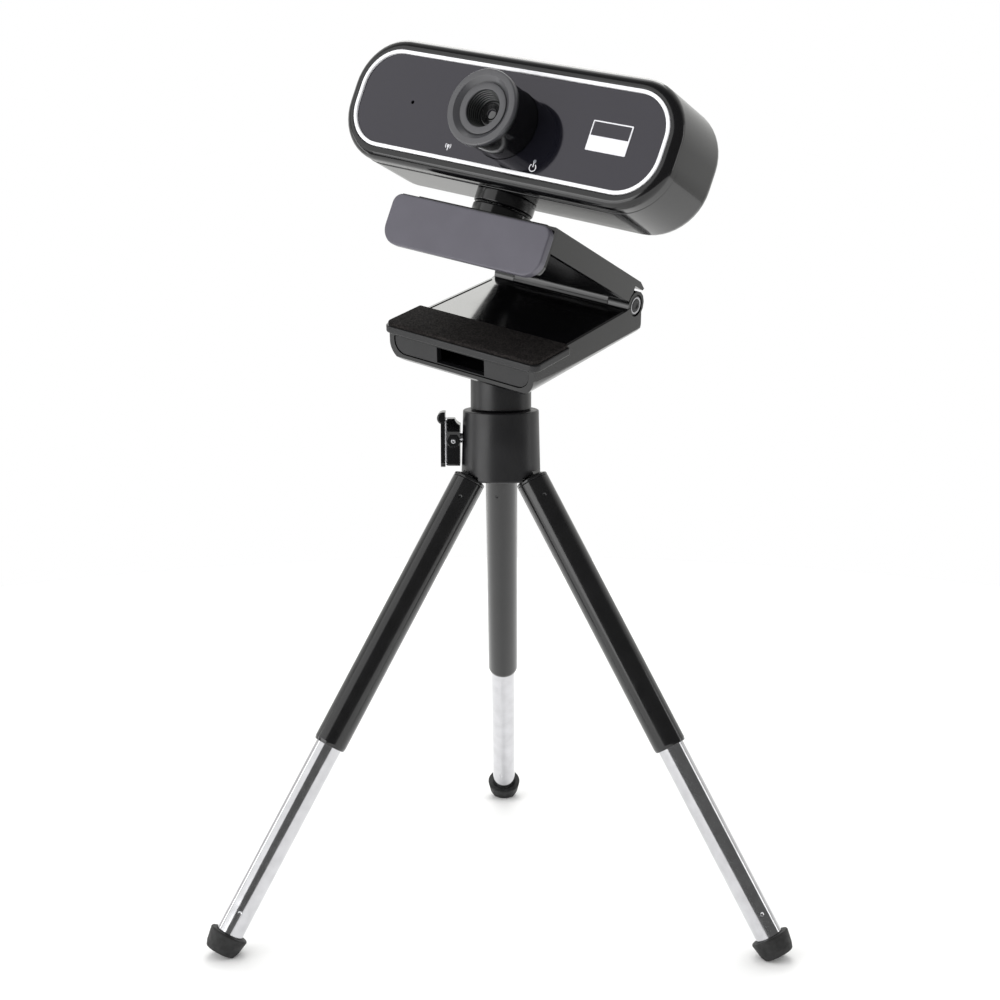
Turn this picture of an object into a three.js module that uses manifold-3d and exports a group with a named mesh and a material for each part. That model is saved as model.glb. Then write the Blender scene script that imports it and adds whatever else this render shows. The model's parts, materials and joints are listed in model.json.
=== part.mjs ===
// Webcam on a mini tripod: a wide clip-on webcam, its clamp open, screwed to a three-legged table tripod.
// Millimetres, +Z up. The camera looks along -Y. The frame's origin is on the table, under the middle of the
// bounding box. The ball head is stored tipped and the clamp open, as the real one stands on a desk.
import * as THREE from "three";
import { mergeVertices } from "three/addons/utils/BufferGeometryUtils.js";
import Module from "manifold-3d";

const wasm = await Module();
wasm.setup();

// ---------------------------------------------------------------------------------------------------------
// Shape helpers
// ---------------------------------------------------------------------------------------------------------

const DEG = Math.PI / 180;
const gap = 0.2; // room left between pieces that sit in or on one another
const slip = 0.06; // radial room of a shaft that turns or slides in its hole

const ROUND = 26; // facets round a large visible turned piece
const SMALL = 14; // facets round a pin or screw

function solidOf(geometry) {
  const bare = geometry.index ? geometry.toNonIndexed() : geometry.clone();
  bare.deleteAttribute("normal");
  bare.deleteAttribute("uv");
  const merged = mergeVertices(bare, 1e-4);
  const vertProperties = merged.attributes.position.array;
  const triVerts = new Uint32Array(merged.index.array);
  const make = () => new wasm.Manifold(new wasm.Mesh({ numProp: 3, vertProperties, triVerts }));
  const solid = make();
  if (solid.volume() > 0) return solid;
  // The faces point inwards: turn each triangle over.
  for (let i = 0; i < triVerts.length; i += 3) {
    [triVerts[i], triVerts[i + 1]] = [triVerts[i + 1], triVerts[i]];
  }
  return make();
}

function geometryOf(solid) {
  const mesh = solid.getMesh();
  const geometry = new THREE.BufferGeometry();
  geometry.setAttribute("position", new THREE.BufferAttribute(new Float32Array(mesh.vertProperties), 3));
  geometry.setIndex(new THREE.BufferAttribute(new Uint32Array(mesh.triVerts), 1));
  return geometry;
}

const join = (first, ...rest) =>
  geometryOf(rest.reduce((solid, piece) => solid.add(solidOf(piece)), solidOf(first)));
const cut = (first, ...rest) =>
  geometryOf(rest.reduce((solid, piece) => solid.subtract(solidOf(piece)), solidOf(first)));
const common = (first, second) => geometryOf(solidOf(first).intersect(solidOf(second)));

// A box given by its limits on each axis.
function block([x0, x1], [y0, y1], [z0, z1]) {
  const box = new THREE.BoxGeometry(x1 - x0, y1 - y0, z1 - z0);
  return box.translate((x0 + x1) / 2, (y0 + y1) / 2, (z0 + z1) / 2);
}

// A body turned about Z from its half section, [radius, height] points in order.
function turned(section, facets = ROUND) {
  const points = section.map(([radius, height]) => new THREE.Vector2(radius, height));
  return new THREE.LatheGeometry(points, facets).rotateX(90 * DEG);
}

// A plain round rod along Z, and a tube along Z.
const rod = (radius, z0, z1, facets = SMALL) =>
  turned([[0, z0], [radius, z0], [radius, z1], [0, z1]], facets);
const tube = (outer, inner, z0, z1, facets = ROUND) =>
  turned([[inner, z0], [outer, z0], [outer, z1], [inner, z1], [inner, z0]], facets);

const turnToX = (geometry) => geometry.rotateY(90 * DEG);
const turnToFront = (geometry) => geometry.rotateX(90 * DEG); // +Z becomes -Y, towards the viewer of the lens

// A rectangle with rounded corners about the origin; radii are [bottom, top].
function roundedRectangle(halfWidth, halfHeight, radii) {
  const [low, high] = Array.isArray(radii) ? radii : [radii, radii];
  const shape = new THREE.Shape();
  shape.absarc(halfWidth - low, -halfHeight + low, low, -90 * DEG, 0);
  shape.absarc(halfWidth - high, halfHeight - high, high, 0, 90 * DEG);
  shape.absarc(-halfWidth + high, halfHeight - high, high, 90 * DEG, 180 * DEG);
  shape.absarc(-halfWidth + low, -halfHeight + low, low, 180 * DEG, 270 * DEG);
  return shape;
}

// Extrude an outline drawn in X and Z from y0 to y1, with an optional rounded edge at both ends.
function frontPrism(shape, y0, y1, round = 0, curveSegments = 6) {
  const options = {
    depth: y1 - y0 - 2 * round,
    bevelEnabled: round > 0,
    bevelThickness: round,
    bevelSize: round,
    bevelOffset: -round,
    bevelSegments: 3,
    curveSegments,
  };
  return new THREE.ExtrudeGeometry(shape, options).rotateX(90 * DEG).translate(0, y1 - round, 0);
}

const outlineOf = (points) => new THREE.Shape(points.map(([across, up]) => new THREE.Vector2(across, up)));

// Extrude an outline drawn in Y and Z, a shape or a list of points, from x0 to x1.
function sidePrism(outline, x0, x1) {
  const shape = outline instanceof THREE.Shape ? outline : outlineOf(outline);
  const basis = new THREE.Matrix4().makeBasis(
    new THREE.Vector3(0, 1, 0),
    new THREE.Vector3(0, 0, 1),
    new THREE.Vector3(1, 0, 0),
  );
  const options = { depth: x1 - x0, bevelEnabled: false, curveSegments: 8 };
  return new THREE.ExtrudeGeometry(shape, options).applyMatrix4(basis).translate(x0, 0, 0);
}

// Extrude an outline drawn in X and Y from z0 to z1.
function planPrism(shape, z0, z1, curveSegments = 6) {
  const options = { depth: z1 - z0, bevelEnabled: false, curveSegments };
  return new THREE.ExtrudeGeometry(shape, options).translate(0, 0, z0);
}

// A block that narrows in plan from its front, y0, to its rear, y1.
function taperedBlock(frontHalf, rearHalf, [y0, y1], [z0, z1]) {
  const plan = outlineOf([[-frontHalf, y0], [frontHalf, y0], [rearHalf, y1], [-rearHalf, y1]]);
  return planPrism(plan, z0, z1);
}

// ---------------------------------------------------------------------------------------------------------
// Finishes
// ---------------------------------------------------------------------------------------------------------

const finishes = {
  glossyBlack: { color: 0x0d0d0f, roughness: 0.18, metalness: 0 },
  satinBlack: { color: 0x18181b, roughness: 0.45, metalness: 0 },
  violetGrey: { color: 0x5a5763, roughness: 0.42, metalness: 0.1 },
  panelGrey: { color: 0x3f3d48, roughness: 0.35, metalness: 0 },
  whiteTrim: { color: 0xf2f2f4, roughness: 0.25, metalness: 0 },
  paintedTube: { color: 0x0b0b0c, roughness: 0.22, metalness: 0.2 },
  polishedTube: { color: 0xc9c9cc, roughness: 0.15, metalness: 1 },
  steel: { color: 0xa5a5a8, roughness: 0.3, metalness: 1 },
  brass: { color: 0xb28c45, roughness: 0.35, metalness: 1 },
  rubber: { color: 0x121212, roughness: 0.85, metalness: 0 },
  foam: { color: 0x1b1917, roughness: 0.95, metalness: 0 },
  nylon: { color: 0xd8d6cd, roughness: 0.6, metalness: 0 },
  boardGreen: { color: 0x14502e, roughness: 0.5, metalness: 0 },
  glass: { color: 0x20242c, roughness: 0.03, metalness: 0 },
  badge: { color: 0xd9d9de, roughness: 0.4, metalness: 0 },
  clear: { color: 0xdfe8ff, roughness: 0.3, metalness: 0 },
};

const webcam = new THREE.Group();
webcam.name = "webcam_on_tripod";

function add(name, geometry, finish, frame = new THREE.Matrix4()) {
  const placed = geometryOf(solidOf(geometry.clone().applyMatrix4(frame)));
  const mesh = new THREE.Mesh(placed, new THREE.MeshStandardMaterial(finishes[finish]));
  mesh.name = name;
  webcam.add(mesh);
}

// ---------------------------------------------------------------------------------------------------------
// Rest pose
// ---------------------------------------------------------------------------------------------------------

const tripodTwist = 34.4; // how far the tripod's own front is turned from the camera's front
const ballHeight = 133.4; // ball centre above the table
const sideTip = 10.2; // the camera's own left-right axis is tipped this far on the ball
const jawPitch = 15; // the jaw's front dips
const armPitch = -17.6; // the arm and head lean back, so the clamp stands open by the difference

const move = (x, y, z) => new THREE.Matrix4().makeTranslation(x, y, z);
const turnX = (degrees) => new THREE.Matrix4().makeRotationX(degrees * DEG);
const turnY = (degrees) => new THREE.Matrix4().makeRotationY(degrees * DEG);
const turnZ = (degrees) => new THREE.Matrix4().makeRotationZ(degrees * DEG);
const chain = (...matrices) => matrices.reduce((all, m) => all.multiply(m), new THREE.Matrix4());

const hinge = { y: 28.6, z: 14.0, radius: 3.6, half: 20.4, middleHalf: 14.2 }; // in the jaw's frame
const neck = { y: -38.0, base: 12.0, radius: 7.2 }; // head swivel, in the arm's frame

const tripodFrame = turnZ(tripodTwist);
const jawFrame = chain(move(0, 0, ballHeight), turnY(sideTip), turnX(jawPitch));
const armFrame = chain(jawFrame, move(0, hinge.y, hinge.z), turnX(armPitch - jawPitch));
const headFrame = chain(armFrame, move(0, neck.y, neck.base));

// ---------------------------------------------------------------------------------------------------------
// Tripod hub and neck
// ---------------------------------------------------------------------------------------------------------

const hub = { bottom: 108.4, top: 125.4, lowRadius: 9.75, topRadius: 9.3, boreRadius: 4.7, boreFloor: 116.2 };
const cavity = { radius: 7.9, top: 114.4 };
const spiderSeat = hub.bottom + 2.2; // where the spider's screw head rests
const leg = {
  count: 3,
  spread: 32.0, // from vertical
  pivotRadius: 6.5,
  pivotHeight: 112.35,
  tubeRadius: 4.0,
  tubeWall: 0.5,
  tubeStart: 3.75, // distances down the leg from its pivot
  tubeEnd: 76.8,
  innerRadius: 3.25,
  innerWall: 0.5,
  innerStart: 61,
  footRim: 126.7,
  footEnd: 131.2,
  plugLength: 9,
};
const lug = { thickness: 2.6, radius: 1.9, slot: 3.0, pinRadius: 0.8, pinHalf: 2.8 };
const clampScrew = { height: 118.4, radius: 1.4, tip: 4.95, clearance: 1.46 };

// Room for one leg's tube head over its whole fold, drawn on the leg's own radial line. Its roof is level up
// to the start radius and then rises outwards, which scallops the hub's lower edge.
const scallop = { start: 7.4, reach: 14, low: 0.4, high: 4.55 };

function legPocket() {
  const floor = hub.bottom - 4;
  const half = leg.tubeRadius + 0.35;
  const outline = [
    [0, floor],
    [scallop.reach, floor],
    [scallop.reach, hub.bottom + scallop.high],
    [scallop.start, hub.bottom + scallop.low],
    [0, hub.bottom + scallop.low],
  ];
  return sidePrism(outline, -half, half);
}

// A copy of a leg-plane shape for each of the three legs; the rear leg lies along the tripod's +Y.
const legFrames = [...Array(leg.count).keys()].map((index) => turnZ((index * 360) / leg.count));
const aroundLegs = (shape) => legFrames.map((frame) => shape.clone().applyMatrix4(frame));

function hubShell() {
  const body = turned([
    [0, hub.bottom],
    [hub.lowRadius - 0.5, hub.bottom],
    [hub.lowRadius, hub.bottom + 0.5],
    [hub.topRadius, hub.top - 0.5],
    [hub.topRadius - 0.5, hub.top],
    [0, hub.top],
  ]);
  const bore = rod(hub.boreRadius, hub.boreFloor, hub.top + 1, ROUND);
  const lowerCavity = rod(cavity.radius, hub.bottom - 1, cavity.top, ROUND);
  const eye = leg.pivotRadius + lug.radius + 0.35;
  const slotTop = leg.pivotHeight + lug.radius + 0.45;
  const lugSlot = sidePrism(
    [
      [0, hub.bottom - 1],
      [12, hub.bottom - 1],
      [12, leg.pivotHeight - 1.55],
      [eye + 0.3, leg.pivotHeight + 0.15],
      [eye, leg.pivotHeight + 0.65],
      [eye, slotTop],
      [0, slotTop],
    ],
    -lug.slot / 2,
    lug.slot / 2,
  );
  const screwHole = rod(1.25, cavity.top - 1, hub.boreFloor + 1);
  const clampHole = turnToX(rod(clampScrew.clearance, -hub.lowRadius - 1, 0));
  clampHole.translate(0, 0, clampScrew.height);
  const legRooms = [...aroundLegs(lugSlot), ...aroundLegs(legPocket())];
  return cut(body, bore, lowerCavity, screwHole, clampHole, ...legRooms);
}

// The spider holds the three hinge lugs; it fills the hub's lower cavity.
function legSpider() {
  const top = cavity.top - gap;
  const disc = rod(cavity.radius - 0.1, hub.bottom + 0.3, top, ROUND);
  const lugSlot = sidePrism(
    [[3.2, hub.bottom - 1], [12, hub.bottom - 1], [12, top + 1], [3.2, top + 1]],
    -lug.slot / 2,
    lug.slot / 2,
  );
  const pinHole = turnToX(rod(lug.pinRadius, -lug.pinHalf - 0.1, lug.pinHalf + 0.1));
  pinHole.translate(0, leg.pivotRadius, leg.pivotHeight);
  const screwHole = rod(1.4, hub.bottom - 1, top + 1);
  const headRecess = rod(2.7, hub.bottom - 1, spiderSeat);
  const legRooms = [...aroundLegs(lugSlot), ...aroundLegs(legPocket()), ...aroundLegs(pinHole)];
  return cut(disc, screwHole, headRecess, ...legRooms);
}

function spiderScrew() {
  const seat = spiderSeat - gap;
  const end = hub.boreFloor - 0.4;
  const section = [
    [0, seat - 1.5],
    [2.0, seat - 1.5],
    [2.4, seat - 1.1],
    [2.4, seat],
    [1.2, seat],
    [1.2, end],
    [0, end],
  ];
  const body = turned(section, SMALL);
  return cut(body, block([-2.6, 2.6], [-0.3, 0.3], [seat - 2, seat - 0.8]));
}

// The neck post turns in the hub; its upper cup holds the ball, its spigot has a groove for the clamp screw.
const post = {
  radius: 7.43,
  spigot: hub.boreRadius - slip,
  bottom: hub.boreFloor + gap,
  top: ballHeight + 1.5,
};
const ball = { radius: 4.8, stud: 2.3, seatThickness: 0.7 };

function ballHollow(radius, upTo) {
  const points = [];
  const last = Math.asin(upTo / radius);
  const steps = 9;
  for (let i = 0; i <= steps; i++) {
    const angle = -90 * DEG + ((last + 90 * DEG) * i) / steps;
    points.push([Math.max(0, radius * Math.cos(angle)), ballHeight + radius * Math.sin(angle)]);
  }
  return points;
}

function neckPost() {
  const cupRadius = ball.radius + ball.seatThickness + gap;
  const groove = clampScrew.height;
  const body = turned([
    [0, post.bottom],
    [post.spigot - 0.4, post.bottom],
    [post.spigot, post.bottom + 0.4],
    [post.spigot, groove - 1.5],
    [post.spigot - 0.5, groove - 1.0],
    [post.spigot - 0.5, groove + 1.0],
    [post.spigot, groove + 1.5],
    [post.spigot, hub.top + gap],
    [post.radius - 0.3, hub.top + gap],
    [post.radius, hub.top + gap + 0.3],
    [post.radius, post.top - 0.6],
    [post.radius - 0.6, post.top],
    [0, post.top],
  ]);
  const cup = turned([...ballHollow(cupRadius, 0), [cupRadius, post.top + 1], [0, post.top + 1]]);
  return cut(body, cup);
}

// A split nylon seat lines the cup, closes over the ball's equator and grips it.
function ballSeat() {
  const inner = ball.radius + slip;
  const outer = ball.radius + ball.seatThickness;
  const top = post.top - ballHeight - 0.1;
  return turned([...ballHollow(outer, 0), [outer, ballHeight + top], ...ballHollow(inner, top).reverse()]);
}

// Ball, stud, camera plate and the quarter-inch camera screw, in the jaw's frame.
const plate = { bottom: 5.0, top: 6.1, radius: 6.0 };
const cameraScrew = { radius: 3.0, top: 11.6 };

function ballStud() {
  const sphere = [];
  const steps = 10;
  const last = Math.acos(ball.stud / ball.radius);
  for (let i = 0; i <= steps; i++) {
    const angle = -90 * DEG + ((last + 90 * DEG) * i) / steps;
    sphere.push([Math.max(0, ball.radius * Math.cos(angle)), ball.radius * Math.sin(angle)]);
  }
  return turned(
    [
      ...sphere,
      [ball.stud, plate.bottom],
      [plate.radius - 0.2, plate.bottom],
      [plate.radius, plate.bottom + 0.2],
      [plate.radius, plate.top],
      [cameraScrew.radius, plate.top],
      [cameraScrew.radius, cameraScrew.top - 0.6],
      [cameraScrew.radius - 0.6, cameraScrew.top],
      [0, cameraScrew.top],
    ],
    ROUND,
  );
}

// ---------------------------------------------------------------------------------------------------------
// Clamp screw with its winged knob, on the hub's side, along the tripod's -X
// ---------------------------------------------------------------------------------------------------------

const knob = { inner: 9.95, bodyOuter: 13.1, plateOuter: 13.6, wingOuter: 14.7 };
const clampFrame = chain(tripodFrame, move(0, 0, clampScrew.height), turnY(-90), turnZ(-90));

function clampShank() {
  return turned(
    [
      [0, post.spigot - 0.3],
      [0.7, post.spigot - 0.3],
      [clampScrew.radius, post.spigot + 0.4],
      [clampScrew.radius, knob.wingOuter - 0.9],
      [0, knob.wingOuter - 0.9],
    ],
    SMALL,
  );
}

// Outlines below are drawn across the screw: their Y is the wing's height.
function knobBody() {
  const outline = outlineOf([
    [-3.4, -6.6],
    [3.4, -6.6],
    [3.1, -1.6],
    [3.6, 2.0],
    [1.6, 4.9],
    [-1.6, 4.9],
    [-3.6, 2.0],
    [-3.1, -1.6],
  ]);
  const slab = planPrism(outline, knob.inner, knob.bodyOuter);
  const waist = turnToX(rod(2.4, -5, 5, SMALL)).translate(0, 5.6, knob.inner - 0.9);
  return cut(slab, rod(clampScrew.radius + 0.03, 0, 20), waist);
}

function knobPlate() {
  const outline = roundedRectangle(3.2, 5.7, 0.8);
  const slab = planPrism(outline, knob.bodyOuter + 0.03, knob.plateOuter, 3).translate(0, -0.9, 0);
  return cut(slab, rod(clampScrew.radius + 0.03, 0, 20));
}

function knobWing() {
  const outline = roundedRectangle(2.7, 6.2, [1.2, 2.6]);
  const slab = planPrism(outline, knob.plateOuter + 0.03, knob.wingOuter, 5).translate(0, -0.9, 0);
  const roundTip = turnToX(rod(1.5, -2.5, 2.5, 16)).translate(0, 5.0, knob.wingOuter - 0.6);
  const reach = block([-3, 3], [-8, 8], [knob.plateOuter + 0.03, knob.wingOuter + 2]);
  return cut(common(join(slab, roundTip), reach), rod(clampScrew.radius + 0.03, 0, knob.wingOuter - 0.8));
}

// ---------------------------------------------------------------------------------------------------------
// Telescopic legs. Each is drawn hanging straight down from its pivot, then swung out and turned round.
// ---------------------------------------------------------------------------------------------------------

const legPlacement = (frame) =>
  chain(tripodFrame, frame, move(0, leg.pivotRadius, leg.pivotHeight), turnX(leg.spread));

// Plug that closes the tube's top: rounded collar, shank in the tube, tongue that swings in the spider.
function legKnuckle() {
  const top = -leg.tubeStart;
  const bore = leg.tubeRadius - leg.tubeWall;
  const plug = turned([
    [0, top - leg.plugLength],
    [bore - 0.3, top - leg.plugLength],
    [bore - 0.02, top - leg.plugLength + 0.3],
    [bore - 0.02, top - 1.1],
    [leg.tubeRadius, top - 1.1],
    [leg.tubeRadius, top - 0.7],
    [leg.tubeRadius - 0.25, top - 0.2],
    [leg.tubeRadius - 0.9, top],
    [0, top],
  ]);
  const half = lug.thickness / 2;
  const eye = turnToX(rod(lug.radius, -half, half, SMALL));
  const tongue = block([-half, half], [-lug.radius, lug.radius], [top - 0.5, 0]);
  return cut(join(plug, eye, tongue), turnToX(rod(lug.pinRadius + slip, -3, 3)));
}

// Painted outer tube, rolled in slightly at its lower end.
function outerTube() {
  const top = -leg.tubeStart - 1.15;
  const bore = leg.tubeRadius - leg.tubeWall;
  return turned([
    [bore, -leg.tubeEnd],
    [leg.tubeRadius - 0.25, -leg.tubeEnd],
    [leg.tubeRadius, -leg.tubeEnd + 0.3],
    [leg.tubeRadius, top],
    [bore, top],
    [bore, -leg.tubeEnd],
  ]);
}

// Split nylon bush in the tube's mouth that grips the sliding tube.
const slideBush = () => {
  const bore = leg.tubeRadius - leg.tubeWall;
  return tube(bore - 0.02, leg.innerRadius + slip / 2, -leg.tubeEnd + 0.5, -leg.tubeEnd + 7);
};

function innerTube() {
  const bottom = -leg.footEnd + 1.6;
  return tube(leg.innerRadius, leg.innerRadius - leg.innerWall, bottom, -leg.innerStart);
}

// Flared rubber foot over the tube's end, trimmed flat where it meets the table.
function rubberFoot() {
  const bore = leg.innerRadius + 0.02;
  return turned([
    [0, -leg.footEnd],
    [3.5, -leg.footEnd],
    [3.95, -leg.footEnd + 0.6],
    [4.25, -leg.footRim - 1.1],
    [4.65, -leg.footRim - 0.5],
    [4.65, -leg.footRim],
    [4.2, -leg.footRim + 0.45],
    [bore, -leg.footRim + 0.45],
    [bore, -leg.footEnd + 1.5],
    [0, -leg.footEnd + 1.5],
  ]);
}

// ---------------------------------------------------------------------------------------------------------
// Jaw: the clamp's lower half, screwed to the tripod. Origin at the ball, +Z up through the camera screw.
// ---------------------------------------------------------------------------------------------------------

const jaw = { half: 21.3, rearHalf: 20.5, front: -16.2, rear: 31.0, bottom: 5.5, top: 14.0, seat: 12.2 };
const carrier = { half: 22.6, front: -17.2, rear: -2.9, bottom: 12.35, top: 14.1 };
const pocket = { half: 19.9, bottom: 7.2, top: 11.8, rear: -6.6 };
const insert = { radius: 4.6, bore: 3.15, bottom: plate.top + 0.15, top: 12.2 };
const rearRounding = 3.4; // the jaw's lower rear edge

function jawShell() {
  const side = new THREE.Shape();
  side.moveTo(jaw.front + 0.8, jaw.bottom);
  side.lineTo(jaw.rear - rearRounding, jaw.bottom);
  side.absarc(jaw.rear - rearRounding, jaw.bottom + rearRounding, rearRounding, -90 * DEG, 0);
  side.lineTo(jaw.rear, hinge.z);
  side.lineTo(hinge.y - hinge.radius, hinge.z + 0.2);
  side.lineTo(hinge.y - hinge.radius - 1, jaw.top);
  side.lineTo(carrier.rear + gap, jaw.top);
  side.lineTo(carrier.rear + gap, jaw.seat);
  side.lineTo(jaw.front, jaw.seat);
  side.lineTo(jaw.front, jaw.bottom + 0.8);
  const across = roundedRectangle(jaw.half, (jaw.top - jaw.bottom) / 2 + 1, [4.6, 0.4]);
  const section = frontPrism(across, jaw.front - 2, jaw.rear + 2);
  section.translate(0, 0, (jaw.top + jaw.bottom) / 2 + 1);
  const depth = [jaw.front - 1, jaw.rear + 1];
  const plan = taperedBlock(jaw.half, jaw.rearHalf, depth, [jaw.bottom - 1, jaw.top + 1]);
  const slab = common(common(sidePrism(side, -jaw.half - 1, jaw.half + 1), section), plan);
  const barrel = turnToX(rod(hinge.radius, -hinge.half, hinge.half)).translate(0, hinge.y, hinge.z);
  const middle = hinge.middleHalf + gap;
  const knuckleRoom = turnToX(rod(hinge.radius + 0.35, -middle, middle)).translate(0, hinge.y, hinge.z);
  const rearRoom = block([-middle, middle], [hinge.y, jaw.rear + 1], [hinge.z - 1.5, jaw.top + 5]);
  const pinHole = turnToX(rod(1.5, -hinge.half - 1, hinge.half + 1)).translate(0, hinge.y, hinge.z);
  const capRecess = [-1, 1].map((side) => {
    const limits = side < 0 ? [-hinge.half - 1, -hinge.half + 1.1] : [hinge.half - 1.1, hinge.half + 1];
    return turnToX(rod(2.75, ...limits)).translate(0, hinge.y, hinge.z);
  });
  const height = (pocket.top - pocket.bottom) / 2;
  const mouth = roundedRectangle(pocket.half, height, [3.3, 0.5]);
  const frontPocket = frontPrism(mouth, jaw.front - 1, pocket.rear);
  frontPocket.translate(0, 0, pocket.bottom + height);
  const insertHole = rod(insert.radius, jaw.bottom - 1, insert.top, ROUND);
  const plateRecess = rod(plate.radius + 0.4, jaw.bottom - 1, plate.top + 0.1, ROUND);
  const rooms = [knuckleRoom, rearRoom, pinHole, ...capRecess, frontPocket, insertHole, plateRecess];
  return cut(join(slab, barrel), ...rooms);
}

// Inset cover of the jaw's front pocket, with its wide slot.
function jawCover() {
  const halfHeight = (pocket.top - pocket.bottom) / 2 - 0.1;
  const middle = (pocket.top + pocket.bottom) / 2;
  const outline = roundedRectangle(pocket.half - 0.1, halfHeight, [3.2, 0.4]);
  const face = frontPrism(outline, jaw.front + 0.25, jaw.front + 1.9);
  const slot = block([-7, 7], [jaw.front - 1, jaw.front + 3], [-halfHeight + 0.35, halfHeight - 0.15]);
  return cut(face, slot).translate(0, 0, middle);
}

const threadInsert = () => tube(insert.radius - 0.02, insert.bore, insert.bottom, insert.top - 0.1);

function padCarrier() {
  const halfDepth = (carrier.rear - carrier.front) / 2;
  const outline = roundedRectangle(carrier.half, halfDepth, [2.2, 0.8]);
  return planPrism(outline, carrier.bottom, carrier.top).translate(0, (carrier.rear + carrier.front) / 2, 0);
}

function foamPad() {
  const halfDepth = (carrier.rear - carrier.front) / 2 - 0.4;
  const outline = roundedRectangle(carrier.half - 0.5, halfDepth, [1.9, 0.6]);
  const pad = planPrism(outline, carrier.top + 0.02, carrier.top + 0.85);
  return pad.translate(0, (carrier.rear + carrier.front) / 2, 0);
}

// Hinge screw with a slotted round head on the left, and its round nut on the right.
const hingeShank = 1.44;

function hingePin() {
  const end = hinge.half - 1.1;
  const section = [
    [0, -end - 1],
    [2.2, -end - 1],
    [2.6, -end - 0.7],
    [2.6, -end - 0.05],
    [hingeShank, -end - 0.05],
    [hingeShank, end + 0.5],
    [0, end + 0.5],
  ];
  const body = turned(section, SMALL);
  const slot = block([-0.35, 0.35], [-3, 3], [-end - 2, -end - 0.6]);
  return turnToX(cut(body, slot)).translate(0, hinge.y, hinge.z);
}

function hingeNut() {
  const start = hinge.half - 1.05;
  const bore = hingeShank + slip;
  const section = [
    [bore, start],
    [2.6, start],
    [2.6, start + 0.7],
    [2.2, start + 1.0],
    [1.8, start + 1.0],
    [bore, start + 0.75],
    [bore, start],
  ];
  return turnToX(turned(section, SMALL)).translate(0, hinge.y, hinge.z);
}

// ---------------------------------------------------------------------------------------------------------
// Arm: the clamp's upper half. Origin on the clamp hinge, -Y towards the lip.
// ---------------------------------------------------------------------------------------------------------

const arm = {
  half: 21.9, // at the lip; the arm narrows towards the hinge
  rearHalf: 20.2,
  front: -47.6,
  top: 5.8,
  bottom: 0,
  wall: 1.6,
  frontWall: 1.2,
  lipDrop: -6.2,
  lid: 5.2,
};
const lip = { half: 22.4, front: -50.0, rear: -47.75, bottom: -6.8, top: 5.3 };
const lid = { half: 18.4, front: -46.5, rear: -13.2, top: 6.3 };
const bolt = { radius: 2.0 };

function clipArm() {
  const roof = arm.top - arm.wall;
  const webStart = -hinge.radius - 1.6;
  const profile = sidePrism(
    [
      [arm.front, arm.bottom],
      [-3.2, arm.bottom],
      [-3.2, roof],
      [1.0, roof],
      [1.6, roof + 0.6],
      [-1.2, arm.top],
      [arm.front, arm.top],
    ],
    -arm.half,
    arm.half,
  );
  const plan = taperedBlock(arm.half, arm.rearHalf, [arm.front, 2], [arm.bottom - 1, arm.top + 1]);
  const channel = common(profile, plan);
  const hollow = taperedBlock(
    arm.half - arm.wall,
    arm.rearHalf - arm.wall,
    [arm.front + arm.frontWall, webStart],
    [arm.bottom - 1, roof],
  );
  const frontWall = frontPrism(
    roundedRectangle(arm.half, (arm.top - arm.lipDrop) / 2, [3.2, 0.4]),
    arm.front,
    arm.front + arm.frontWall,
  ).translate(0, 0, (arm.top + arm.lipDrop) / 2);
  const knuckle = turnToX(rod(hinge.radius, -hinge.middleHalf, hinge.middleHalf));
  const web = block([-hinge.middleHalf, hinge.middleHalf], [webStart, 0.4], [0, roof + 0.4]);
  const sideRooms = [-1, 1].map((side) => {
    const limits = side < 0 ? [-30, -hinge.middleHalf] : [hinge.middleHalf, 30];
    return turnToX(rod(hinge.radius + 0.4, ...limits));
  });
  const pinBore = turnToX(rod(hingeShank + slip, -20, 20));
  const lidRoom = lid.half + 0.1;
  const lidSeat = block([-lidRoom, lidRoom], [lid.front - 0.1, lid.rear + 0.1], [arm.lid, arm.top + 1]);
  const boltHole = rod(bolt.radius + 0.3, 0, 8).translate(0, neck.y, 0);
  const shell = join(cut(channel, hollow, ...sideRooms), frontWall, knuckle, web);
  return cut(shell, pinBore, lidSeat, boltHole);
}

function lipCover() {
  const halfHeight = (lip.top - lip.bottom) / 2;
  const outline = roundedRectangle(lip.half, halfHeight, [4.4, 2.4]);
  return frontPrism(outline, lip.front, lip.rear, 0.35, 4).translate(0, 0, (lip.top + lip.bottom) / 2);
}

function armLid() {
  const body = sidePrism(
    [
      [lid.front, arm.lid + 0.05],
      [lid.rear, arm.lid + 0.05],
      [lid.rear - 0.1, arm.top],
      [lid.rear - 1.0, lid.top],
      [lid.front + 0.6, lid.top],
      [lid.front, lid.top - 0.5],
    ],
    -lid.half,
    lid.half,
  );
  return cut(body, rod(neck.radius + 0.1, 0, 9, ROUND).translate(0, neck.y, 0));
}

// The swivel's two collars meet at a thin groove.
function lowerCollar() {
  const collar = tube(neck.radius - 0.1, bolt.radius + slip, arm.lid + 0.05, 8.6);
  return collar.translate(0, neck.y, 0);
}

function swivelWasher() {
  const roof = arm.top - arm.wall;
  return tube(4.2, bolt.radius + slip, roof - 0.75, roof - 0.05).translate(0, neck.y, 0);
}

// ---------------------------------------------------------------------------------------------------------
// Head. Origin on the swivel axis at the head's underside, -Y towards the subject.
// ---------------------------------------------------------------------------------------------------------

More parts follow.
